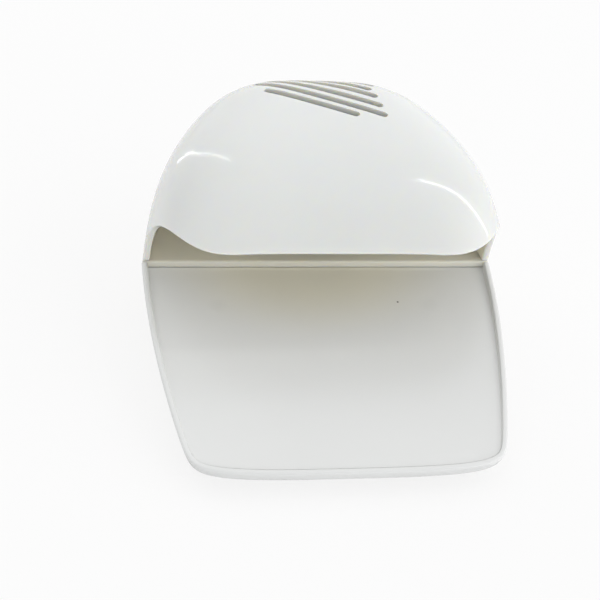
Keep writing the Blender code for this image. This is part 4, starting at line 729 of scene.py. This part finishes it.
def slot_bar(ends):
    """Upright bar with round ends that cuts one slot."""
    start = Vector((ends[0] * WIDTH / 2, world(ends[1] * REAR_REACH), HOOD_TOP + PAST))
    end = Vector((ends[2] * WIDTH / 2, world(ends[3] * REAR_REACH), HOOD_TOP + PAST))
    depth = SLOT_DEPTH + PAST
    middle = (start + end) / 2 - Vector((0, 0, depth / 2))
    slant = math.atan2(end.y - start.y, end.x - start.x)
    bpy.ops.object.select_all(action="DESELECT")
    bpy.ops.mesh.primitive_cube_add(size=1, location=middle, rotation=(0, 0, slant),
                                    scale=((end - start).length + SLOT_WIDTH, SLOT_WIDTH, depth))
    bar = settle(bpy.context.object, "slot_bar")
    start_editing(bar)
    choose(bar, "EDGE", lambda edge: abs(edge.verts[0].co.z - edge.verts[1].co.z) > depth / 2)
    bpy.ops.mesh.bevel(offset=SLOT_WIDTH * 0.49, segments=7, affect="EDGES", clamp_overlap=False)
    stop_editing()
    return bar


def make_hood():
    """Hood: two sheets bridged into one wall, with a rounded lip, slots and screw posts."""
    hood = gather([hood_sheet(0, 0, 0), hood_sheet(WALL, LIP_SETBACK, 1)])
    settle(hood, "hood")
    start_editing(hood)
    bpy.ops.mesh.select_mode(type="EDGE")
    bpy.ops.mesh.select_non_manifold(extend=False, use_wire=False, use_boundary=True, use_multi_face=False,
                                     use_non_contiguous=False, use_verts=False)
    bpy.ops.mesh.bridge_edge_loops()
    bpy.ops.mesh.select_all(action="SELECT")
    bpy.ops.mesh.normals_make_consistent(inside=False)
    bpy.ops.mesh.select_all(action="DESELECT")
    low = HOOD_FOOT + FOOT_TOLERANCE

    def sharp(edge):
        return edge.is_manifold and edge.calc_face_angle() > SHARP

    choose(hood, "EDGE", lambda edge: sharp(edge) and max(vertex.co.z for vertex in edge.verts) > low)
    bpy.ops.mesh.bevel(offset=LIP_ROUND, segments=4, affect="EDGES", clamp_overlap=False)
    choose(hood, "EDGE", lambda edge: sharp(edge) and max(vertex.co.z for vertex in edge.verts) < low)
    bpy.ops.mesh.bevel(offset=FOOT_ROUND, segments=2, affect="EDGES", clamp_overlap=False)
    stop_editing()
    posts = []
    bores = []
    for number in range(1, 5):
        low_corner, high_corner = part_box(f"liner_screw_{number}")
        x = (low_corner[0] + high_corner[0]) / 2
        y = (low_corner[1] + high_corner[1]) / 2
        post = rod(BOSS_RADIUS, (x, y, CEILING_TOP + GAP), (x, y, HOOD_TOP))
        for vertex in post.data.vertices:
            if vertex.co.z > HOOD_TOP - PAST:
                vertex.co.z = crown_height(vertex.co.x, vertex.co.y - SEAM_Y, WALL / 2)
        posts.append(post)
        bores.append(rod(SCREW_BORE, (x, y, CEILING_TOP), (x, y, high_corner[2] + 2 * GAP), 24))
    for number in (1, 2):
        low_corner, high_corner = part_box(f"hood_screw_{number}")
        x = (low_corner[0] + high_corner[0]) / 2
        y = (low_corner[1] + high_corner[1]) / 2
        post = rod(BOSS_RADIUS, (x, y, HOOD_FOOT), (x, y, HOOD_FOOT + HOOD_POST))
        rear = world(tail_back(WALL / 2)) - POST_SETBACK
        for vertex in post.data.vertices:
            reach = half_width(vertex.co.y - SEAM_Y, WALL / 2)
            if vertex.co.y > rear or reach < abs(vertex.co.x):
                vertex.co.y = min(vertex.co.y, rear)
        posts.append(post)
        bores.append(rod(SCREW_BORE, (x, y, HOOD_FOOT - PAST), (x, y, high_corner[2] + 2 * GAP), 24))
    for post in posts:
        paint(post, GLOSS_WHITE, INSIDE_SHADE_WARM_WHITE)
        for face in post.data.polygons:
            face.material_index = 1
    for cutter in bores:
        paint(cutter, GLOSS_WHITE, INSIDE_SHADE_WARM_WHITE)
    combine(hood, gather(posts), "UNION")
    combine(hood, gather(bores), "DIFFERENCE")
    combine(hood, gather([slot_bar(ends) for ends in SLOT_ENDS]), "DIFFERENCE")
    smooth(hood, 30)
    return fit(hood, "base", "gloss_white", "hood_shell")


# Palm tray

def make_tray():
    """Palm tray: an outline filled, rimmed, skirted and rounded, then cut off straight at the seam."""
    outline = tray_outline(TRAY_OVERRUN)
    bpy.ops.object.select_all(action="DESELECT")
    bpy.ops.mesh.primitive_circle_add(vertices=len(outline), radius=WIDTH / 2, fill_type="NGON")
    tray = settle(bpy.context.object, "palm_tray")
    for vertex, (x, y) in zip(tray.data.vertices, outline):
        vertex.co = (x, y, rim_height(y))
    bpy.ops.object.mode_set(mode="EDIT")
    bpy.ops.mesh.select_all(action="SELECT")
    bpy.ops.mesh.inset(thickness=RIM_WIDTH)
    bpy.ops.mesh.extrude_region_move(TRANSFORM_OT_translate={"value": (0, 0, -TRAY_STEP)})
    lift_chosen(tray, palm_height)
    choose(tray, "EDGE", lambda edge: edge.is_boundary)
    bpy.ops.mesh.extrude_region_move(TRANSFORM_OT_translate={"value": (0, 0, -TRAY_STEP)})
    move_chosen(tray, skirt_foot)
    lift_chosen(tray, skirt_low)
    bpy.ops.mesh.edge_face_add()
    bpy.ops.mesh.inset(thickness=RIM_WIDTH)
    bpy.ops.mesh.extrude_region_move(TRANSFORM_OT_translate={"value": (0, 0, TRAY_STEP)})
    lift_chosen(tray, slab_low)
    bpy.ops.mesh.select_all(action="SELECT")
    bpy.ops.mesh.normals_make_consistent(inside=False)
    outer_corners = [Vector((x, y)) for x, y in outline] + [Vector(skirt_foot(x, y)) for x, y in outline]

    def loop_at(height, outer):
        def test(edge):
            for vertex in edge.verts:
                if abs(vertex.co.z - height(vertex.co.y)) > HEIGHT_TOLERANCE:
                    return False
                nearest = min((vertex.co.xy - corner).length for corner in outer_corners)
                if (nearest < PLACE_TOLERANCE) != outer:
                    return False
            return edge.is_manifold and edge.calc_face_angle() > SHARP
        return test

    for height, outer, rounding, segments in ((rim_height, True, RIM_OUTER_ROUND, 5),
                                              (rim_height, False, RIM_INNER_ROUND, 3),
                                              (palm_height, False, PALM_ROUND, 4), (skirt_low, True, SKIRT_ROUND, 3)):
        choose(tray, "EDGE", loop_at(height, outer))
        bpy.ops.mesh.bevel(offset=rounding, segments=segments, affect="EDGES", clamp_overlap=False)
    bpy.ops.mesh.select_all(action="SELECT")
    bpy.ops.mesh.bisect(plane_co=(0, world(TRAY_BACK), 0), plane_no=(0, 1, 0), clear_outer=True, use_fill=True)
    stop_editing()
    hinge_y = world(-HINGE_AHEAD)
    spring_y = world(-SPRING_AHEAD)
    switch_y = world(-SWITCH_AHEAD)
    added = []
    bores = []
    for _, side in SIDES:
        low_corner, high_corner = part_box("hinge_pin_left" if side < 0 else "hinge_pin_right")
        middle = (low_corner[0] + high_corner[0]) / 2
        x_low, x_high = middle - KNUCKLE_HALF, middle + KNUCKLE_HALF
        added.append(rod(KNUCKLE_RADIUS, (x_low, hinge_y, HINGE_HEIGHT), (x_high, hinge_y, HINGE_HEIGHT)))
        added.append(block((x_low + HEIGHT_TOLERANCE, hinge_y - KNUCKLE_RADIUS, HINGE_HEIGHT),
                           (x_high - HEIGHT_TOLERANCE, hinge_y + KNUCKLE_RADIUS / 2, slab_low(hinge_y) + SLAB / 2)))
        bores.append(rod(PIN_RADIUS + GAP, (x_low - PAST, hinge_y, HINGE_HEIGHT),
                         (x_high + PAST, hinge_y, HINGE_HEIGHT), 24))
        spring_low, spring_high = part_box("tray_spring_left" if side < 0 else "tray_spring_right")
        x = (spring_low[0] + spring_high[0]) / 2
        added.append(rod(SPIGOT_RADIUS * 0.8, (x, spring_y, slab_low(spring_y) - SPIGOT_LENGTH),
                         (x, spring_y, slab_low(spring_y) + SLAB / 2), 24, SPIGOT_RADIUS))
    plunger_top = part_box("switch_plunger")[1][2]
    added.append(rod(SWITCH_POST_RADIUS, (0, switch_y, plunger_top + GAP),
                     (0, switch_y, slab_low(switch_y) + SLAB / 2), 24))
    lip_top = palm_height(world(TRAY_BACK)) - GAP
    half = WIDTH / 2 - SEAM_LIP_INSET
    added.append(block((-half, world(TRAY_BACK) - SEAM_LIP, lip_top - SEAM_LIP),
                       (half, world(TRAY_BACK) + SEAM_LIP_REACH, lip_top)))
    for piece in added:
        combine(tray, piece, "UNION")
    combine(tray, gather(bores), "DIFFERENCE")
    paint(tray, PALM_WHITE)
    smooth(tray, 30)
    return fit(tray, "tray", "satin_white", "press_tray")


# Screws, feet and cells

def screw(name, radius, head_radius, head_height, length):
    """Pan-head screw along +Z: domed head with a cross recess, turned shank with a few thread ridges."""
    profile = [(head_radius * 0.35, -head_height), (head_radius * 0.78, -head_height * 0.88),
               (head_radius * 0.96, -head_height * 0.55), (head_radius, -head_height * 0.2), (head_radius, 0),
               (radius * 0.8, 0)]
    pitch = radius * 0.9
    height = pitch / 2
    while height < length - radius:
        profile += [(radius * 0.8, height), (radius, height + pitch * 0.25), (radius * 0.8, height + pitch * 0.5)]
        height += pitch
    profile.append((radius * 0.3, length))
    made = turned(name, profile, 24)
    thin = head_radius * 0.13
    wide = head_radius * 0.58
    top = -head_height * 0.35
    for half_x, half_y in ((wide, thin), (thin, wide)):
        combine(made, block((-half_x, -half_y, -head_height - PAST), (half_x, half_y, top)), "DIFFERENCE")
    return smooth(paint(made, ZINC), 40)


def place_screws(nodes, sizes, heads_up=False):
    """One screw, copied to the places of its nodes."""
    first = screw("screw_pattern", *sizes)
    for node in nodes:
        low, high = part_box(node)
        mesh = first.data.copy()
        seat = high[2] - sizes[2] if heads_up else low[2] + sizes[2]
        turn = Matrix.Rotation(math.pi, 4, "X") if heads_up else Matrix.Identity(4)
        spin = Matrix.Rotation(0.7 * len(node) + 1.9 * int(node[-1]), 4, "Z")
        mesh.transform(Matrix.Translation(((low[0] + high[0]) / 2, (low[1] + high[1]) / 2, seat)) @ turn @ spin)
        made = bpy.data.objects.new(node + "_cross_head", mesh)
        bpy.context.scene.collection.objects.link(made)
        fit(made, "base", "zinc_steel", node)
    bpy.data.objects.remove(first, do_unlink=True)


def make_screws():
    place_screws([f"base_screw_{number}" for number in range(1, 5)], (0.0013, 0.0024, 0.0014, 0.0085))
    place_screws([f"liner_screw_{number}" for number in range(1, 5)], (0.0013, 0.0024, 0.0014, 0.0070))
    place_screws(["hood_screw_1", "hood_screw_2"], (0.0013, 0.0024, 0.0014, 0.0075))
    place_screws([f"bracket_screw_{number}" for number in range(1, 4)], (0.0013, 0.0024, 0.0014, 0.0050), True)
    place_screws(["motor_screw_1", "motor_screw_2"], (0.0008, 0.0015, 0.0008, 0.0026))


def make_feet():
    for node in ("foot_front_left", "foot_front_right", "foot_rear_left", "foot_rear_right"):
        low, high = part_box(node)
        centre = ((low[0] + high[0]) / 2, (low[1] + high[1]) / 2, 0)
        foot = turned(node + "_pad", [(0.0036, 0.00002), (0.0041, 0.0001), (0.0044, 0.0004), (0.0045, 0.0008),
                                      (0.0045, 0.0016)], 40, centre)
        fit(paint(foot, RUBBER), "base", "grey_rubber", node)


def make_cells():
    """Two plain cells: steel ends, rolled jacket edges and a nub."""
    for node, side in (("battery_a", 1), ("battery_b", -1)):
        low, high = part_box(node)
        length = high[0] - low[0]
        radius = (high[2] - low[2]) / 2
        profile = [(radius * 0.80, 0.00025), (radius * 0.83, 0), (radius * 0.93, 0.0001), (radius * 0.985, 0.0006),
                   (radius * 0.985, length - 0.0022), (radius * 0.93, length - 0.0014),
                   (radius * 0.86, length - 0.0013), (radius * 0.82, length - 0.0017), (0.0030, length - 0.0015),
                   (0.0027, length - 0.0012), (0.0027, length - 0.0002), (0.0024, length)]
        centre = (low[0] if side > 0 else high[0], (low[1] + high[1]) / 2, (low[2] + high[2]) / 2)
        cell = turned(node + "_cell", profile, 48, centre, (side, 0, 0))
        paint(cell, CELL, ZINC)
        for face in cell.data.polygons:
            along = abs(face.center.x - centre[0])
            if along < 0.0001 or along > length - 0.0018:
                face.material_index = 1
        fit(cell, "base", "cell_jacket", node)


# Springs and leads


def coil(name, radius, wire, length, turns, base, axis):
    """Wound spring: a wire section swept round and along by a screw, with filled ends."""
    bpy.ops.object.select_all(action="DESELECT")
    bpy.ops.mesh.primitive_circle_add(vertices=12, radius=wire, fill_type="NOTHING", location=(radius, 0, 0),
                                      rotation=(math.pi / 2, 0, 0))
    spring = settle(bpy.context.object, name)
    rise = (length - 2 * wire) / turns
    apply_modifier(spring, "SCREW", angle=2 * math.pi, screw_offset=rise, iterations=turns, steps=32,
                   render_steps=32, axis="Z", use_merge_vertices=False)
    start_editing(spring)
    choose(spring, "EDGE", lambda edge: edge.is_boundary)
    bpy.ops.mesh.edge_face_add()
    bpy.ops.mesh.select_all(action="SELECT")
    bpy.ops.mesh.normals_make_consistent(inside=False)
    stop_editing()
    turn = Vector((0, 0, 1)).rotation_difference(Vector(axis)).to_matrix().to_4x4()
    spring.data.transform(Matrix.Translation(Vector(base)) @ turn @ Matrix.Translation((0, 0, wire)))
    return smooth(paint(spring, STEEL), 50)


def make_springs():
    for name, _ in SIDES:
        node = f"tray_spring_{name}"
        low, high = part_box(node)
        base = ((low[0] + high[0]) / 2, world(-SPRING_AHEAD), low[2])
        length = high[2] - low[2]
        spring = coil(node + "_wound", 0.0029, 0.0003, length, 6, base, (0, 0, 1))
        fit(spring, "base", "bright_steel", node)
        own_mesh(spring)
    for node, side in (("contact_spring_a", -1), ("contact_spring_b", 1)):
        low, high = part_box(node)
        start = high[0] if side < 0 else low[0]
        base = (start, (low[1] + high[1]) / 2, (low[2] + high[2]) / 2)
        spring = coil(node + "_wound", 0.0031, 0.0003, high[0] - low[0], 4, base, (side, 0, 0))
        fit(spring, "base", "zinc_steel", node)


def make_leads():
    """Leads: rounder copies of the routed tubes."""
    for node, material, slot in (("wire_black", BLACK_JACKET, "black_wire"),
                                 ("wire_white", WHITE_JACKET, "white_wire"), ("wire_red", RED_JACKET, "red_wire")):
        lead = bpy.data.objects.new(node + "_lead", NODES[node].data.copy())
        bpy.context.scene.collection.objects.link(lead)
        start_editing(lead)
        bpy.ops.mesh.select_all(action="SELECT")
        bpy.ops.mesh.remove_doubles(threshold=0.000001)
        bpy.ops.mesh.tris_convert_to_quads()
        stop_editing()
        apply_modifier(lead, "SUBSURF", levels=1, render_levels=1)
        apply_modifier(lead, "DISPLACE", strength=0.00004, mid_level=0.0)
        fit(smooth(paint(lead, material), 60), "base", slot, node)


# Fan

def make_impeller():
    """Fan wheel: a domed hub and six twisted blades of even thickness."""
    low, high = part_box("fan_impeller")
    middle = (low[2] + high[2]) / 2
    half = (high[2] - low[2]) / 2
    centre_y = world(DUCT_BACK)
    radius = 0.0210
    hub = turned("fan_wheel", [(0.0030, low[2]), (0.0042, low[2] + 0.0003), (0.0048, low[2] + 0.0012),
                               (0.0048, high[2])], 40)
    blades = []
    for index in range(6):
        bpy.ops.object.select_all(action="DESELECT")
        bpy.ops.mesh.primitive_grid_add(x_subdivisions=12, y_subdivisions=10, size=1)
        blade = bpy.context.object
        for vertex in blade.data.vertices:
            out = vertex.co.x + 0.5
            across = vertex.co.y
            reach = 0.0040 + (radius - 0.0040) * out
            chord = 0.0065 + 0.0045 * out ** 0.8
            pitch = math.radians(34 - 14 * out)
            sweep = 0.22 * out ** 2
            drop = 0.0006 * (1 - 4 * across ** 2)
            along = across * chord
            angle = 2 * math.pi * index / 6 + sweep + along * math.cos(pitch) / reach
            height = along * math.sin(pitch) + drop * math.cos(pitch)
            height = max(0.0006 - half, min(half - 0.0006, height))
            vertex.co = (reach * math.cos(angle), reach * math.sin(angle), middle + height)
        blade = settle(blade, "blade")
        apply_modifier(blade, "SOLIDIFY", thickness=0.0009, offset=0)
        apply_modifier(blade, "BEVEL", width=0.0002, segments=2, limit_method="ANGLE", angle_limit=math.radians(40))
        blades.append(blade)
    for blade in blades:
        combine(hub, blade, "UNION")
    combine(hub, rod(SHAFT_BORE, (0, 0, low[2] + 0.001), (0, 0, high[2] + PAST), 24), "DIFFERENCE")
    hub.data.transform(Matrix.Translation((0, centre_y, 0)))
    fit(smooth(paint(hub, FAN_WHITE), 38), "fan", "fan_plastic", "fan_impeller")


# Moulded and pressed parts that keep their CAD shape, with rounded edges

def make_refined():
    table = (("chamber_floor", "base", "satin_white", SATIN_SHADE_WARM_WHITE, 0.00022),
             ("bottom_shell", "base", "satin_white", SATIN_SHADE_WARM_WHITE, 0.00030),
             ("battery_door", "door", "satin_white", SATIN_SHADE_WARM_WHITE, 0.00020),
             ("chamber_liner", "base", "inner_white", INSIDE_SHADE_WARM_WHITE, 0.00025),
             ("fan_guard", "base", "inner_white", INSIDE_SHADE_WARM_WHITE, 0.00025),
             ("motor_can", "base", "bright_steel", STEEL, 0.00030),
             ("motor_bracket", "base", "zinc_steel", ZINC, 0.00025),
             ("switch_body", "base", "black_plastic", BLACK, 0.00020),
             ("switch_plunger", "plunger", "fan_plastic", FAN_WHITE, 0.00025),
             ("contact_plate_negative", "base", "zinc_steel", ZINC, 0.00010),
             ("contact_plate_positive", "base", "zinc_steel", ZINC, 0.00010),
             ("contact_bridge", "base", "zinc_steel", ZINC, 0.00010))
    for node, body, slot, material, rounding in table:
        fit(paint(refined(node, rounding), material), body, slot, node)


def dress_nodes():
    """Finishes for the CAD nodes that stay as they are."""
    table = {"motor_end_cap": BLACK, "motor_magnet": FERRITE, "motor_rotor": COPPER, "motor_bush": BRASS,
             "motor_shaft": STEEL, "motor_terminal_left": BRASS, "motor_terminal_right": BRASS,
             "hinge_pin_left": STEEL, "hinge_pin_right": STEEL, "switch_terminal_1": BRASS,
             "switch_terminal_2": BRASS}
    for node, material in table.items():
        for slot in NODES[node].material_slots:
            slot.material = material


# Floor, light and camera

# Parts of the room: direction, angles where each is full and where it ends, and light
# Tubes: name, both ends, breadth and light
# Camera: angles, focal length and picture in pixels, and where the middle of the seam lies in the picture

PAPER_GLOW = 0.82
ROOM_COLOUR = (1, 1, 1, 1)
ROOM_LIGHT = 0.68
SKY_GLOWS = (((0, 0.1, 1), 5, 75, 0.18), ((0, -0.6, 0.8), 5, 42, -0.48), ((1, -0.5, 0.12), 5, 60, 1.3),
             ((-1, -0.5, 0.12), 5, 60, 0.15), ((0, 1, 0.3), 5, 70, 0.42), ((0, -1, 0.05), 5, 60, 0.30))
TUBES = (("tube left low", (-0.355, 0.53, 0.03), (-0.388, 0.53, 0.45), 0.014, 6.0),
         ("tube left high", (-0.388, 0.53, 0.45), (-0.193, 0.53, 1.28), 0.018, 6.0),
         ("tube right", (0.25, 0.09, 0.75), (0.53, 0.05, 0.28), 0.018, 9.0))
CAMERA_DOWN = math.radians(40)
CAMERA_SWING = math.radians(-12.4)
CAMERA_ROLL = math.radians(7.8)
CAMERA_AWAY = 0.460
FOCAL = 1400
PICTURE = 600
SEAM_PIXEL = (318.5, 259.5)
FILM = 36


def make_stage():
    """White paper under the object, which keeps its shadow."""
    bpy.ops.object.select_all(action="DESELECT")
    bpy.ops.mesh.primitive_plane_add(size=8, location=(0, 0, 0))
    floor = settle(bpy.context.object, "floor")
    paper = Finish("white paper", (0.86, 0.86, 0.86), 0.9)
    glow = paper.add("ShaderNodeEmission", None, {"Strength": 1.0})
    seen = paper.add("ShaderNodeLightPath", out="Is Camera Ray")
    paper.blend(seen * PAPER_GLOW, Value(paper, paper.shader.outputs[0]), glow, "Material Output")
    paint(floor, paper.material)


def make_sky():
    """White room: even light with soft brighter and darker parts; the camera sees it plain white."""
    room = bpy.data.worlds.new("white room")
    bpy.context.scene.world = room
    room.use_nodes = True
    sky = Nodes(room.node_tree)
    way = sky.add("ShaderNodeTexCoord", out="Generated")
    strength = ROOM_LIGHT
    for direction, narrow, wide, light in SKY_GLOWS:
        facing = sky.add("ShaderNodeVectorMath", {"operation": "DOT_PRODUCT"},
                         {0: way, 1: Vector(direction).normalized()}, out="Value")
        strength = strength + sky.band(facing, math.cos(math.radians(wide)), math.cos(math.radians(narrow))) * light
    light = sky.add("ShaderNodeBackground", None, {"Color": ROOM_COLOUR, "Strength": strength})
    white = sky.add("ShaderNodeBackground", None, {"Color": (1, 1, 1, 1), "Strength": 1.0})
    seen = sky.add("ShaderNodeLightPath", out="Is Camera Ray")
    sky.blend(seen, light, white, "World Output")


def make_lamps():
    """Light tubes whose reflections draw the bright arcs on the hood's shoulders; the left one is bent."""
    for name, start, end, breadth, light in TUBES:
        start, end = Vector(start), Vector(end)
        middle = (start + end) / 2
        length = (end - start).length
        along = (end - start).normalized()
        across = middle.cross(along).normalized()
        tube = bpy.data.lights.new(name, "AREA")
        tube.shape = "RECTANGLE"
        tube.size, tube.size_y = length, breadth
        tube.energy = math.pi * light * length * breadth
        made = bpy.data.objects.new(name, tube)
        bpy.context.scene.collection.objects.link(made)
        turn = Matrix((along, across, along.cross(across))).transposed().to_4x4()
        made.matrix_world = Matrix.Translation(middle) @ turn
        made.visible_camera = False


def make_camera():
    """Camera of the picture: above and in front, a little to the left, and slightly rolled."""
    down, swing, roll = CAMERA_DOWN, CAMERA_SWING, CAMERA_ROLL
    forward = Vector((-math.sin(swing) * math.cos(down), math.cos(swing) * math.cos(down), -math.sin(down)))
    level = Vector((math.cos(swing), math.sin(swing), 0))
    over = level.cross(forward)
    right = math.cos(roll) * level + math.sin(roll) * over
    up = -math.sin(roll) * level + math.cos(roll) * over
    across, fall = ((pixel - PICTURE / 2) / FOCAL for pixel in SEAM_PIXEL)
    ray = forward + across * right - fall * up
    place = Vector((0, world(0), SEAM_HEIGHT)) - ray * CAMERA_AWAY
    camera = bpy.data.cameras.new("camera")
    camera.sensor_width = FILM
    camera.lens = FOCAL / PICTURE * FILM
    camera.clip_start = 0.01
    made = bpy.data.objects.new("camera", camera)
    bpy.context.scene.collection.objects.link(made)
    turn = Matrix((right, up, -forward)).transposed().to_4x4()
    made.matrix_world = Matrix.Translation(place) @ turn
    bpy.context.scene.camera = made


make_hood()
make_tray()
make_refined()
make_impeller()
make_screws()
make_feet()
make_cells()
make_springs()
make_leads()
dress_nodes()
make_stage()
make_sky()
make_lamps()
make_camera()
bpy.context.scene.view_settings.view_transform = "Standard"
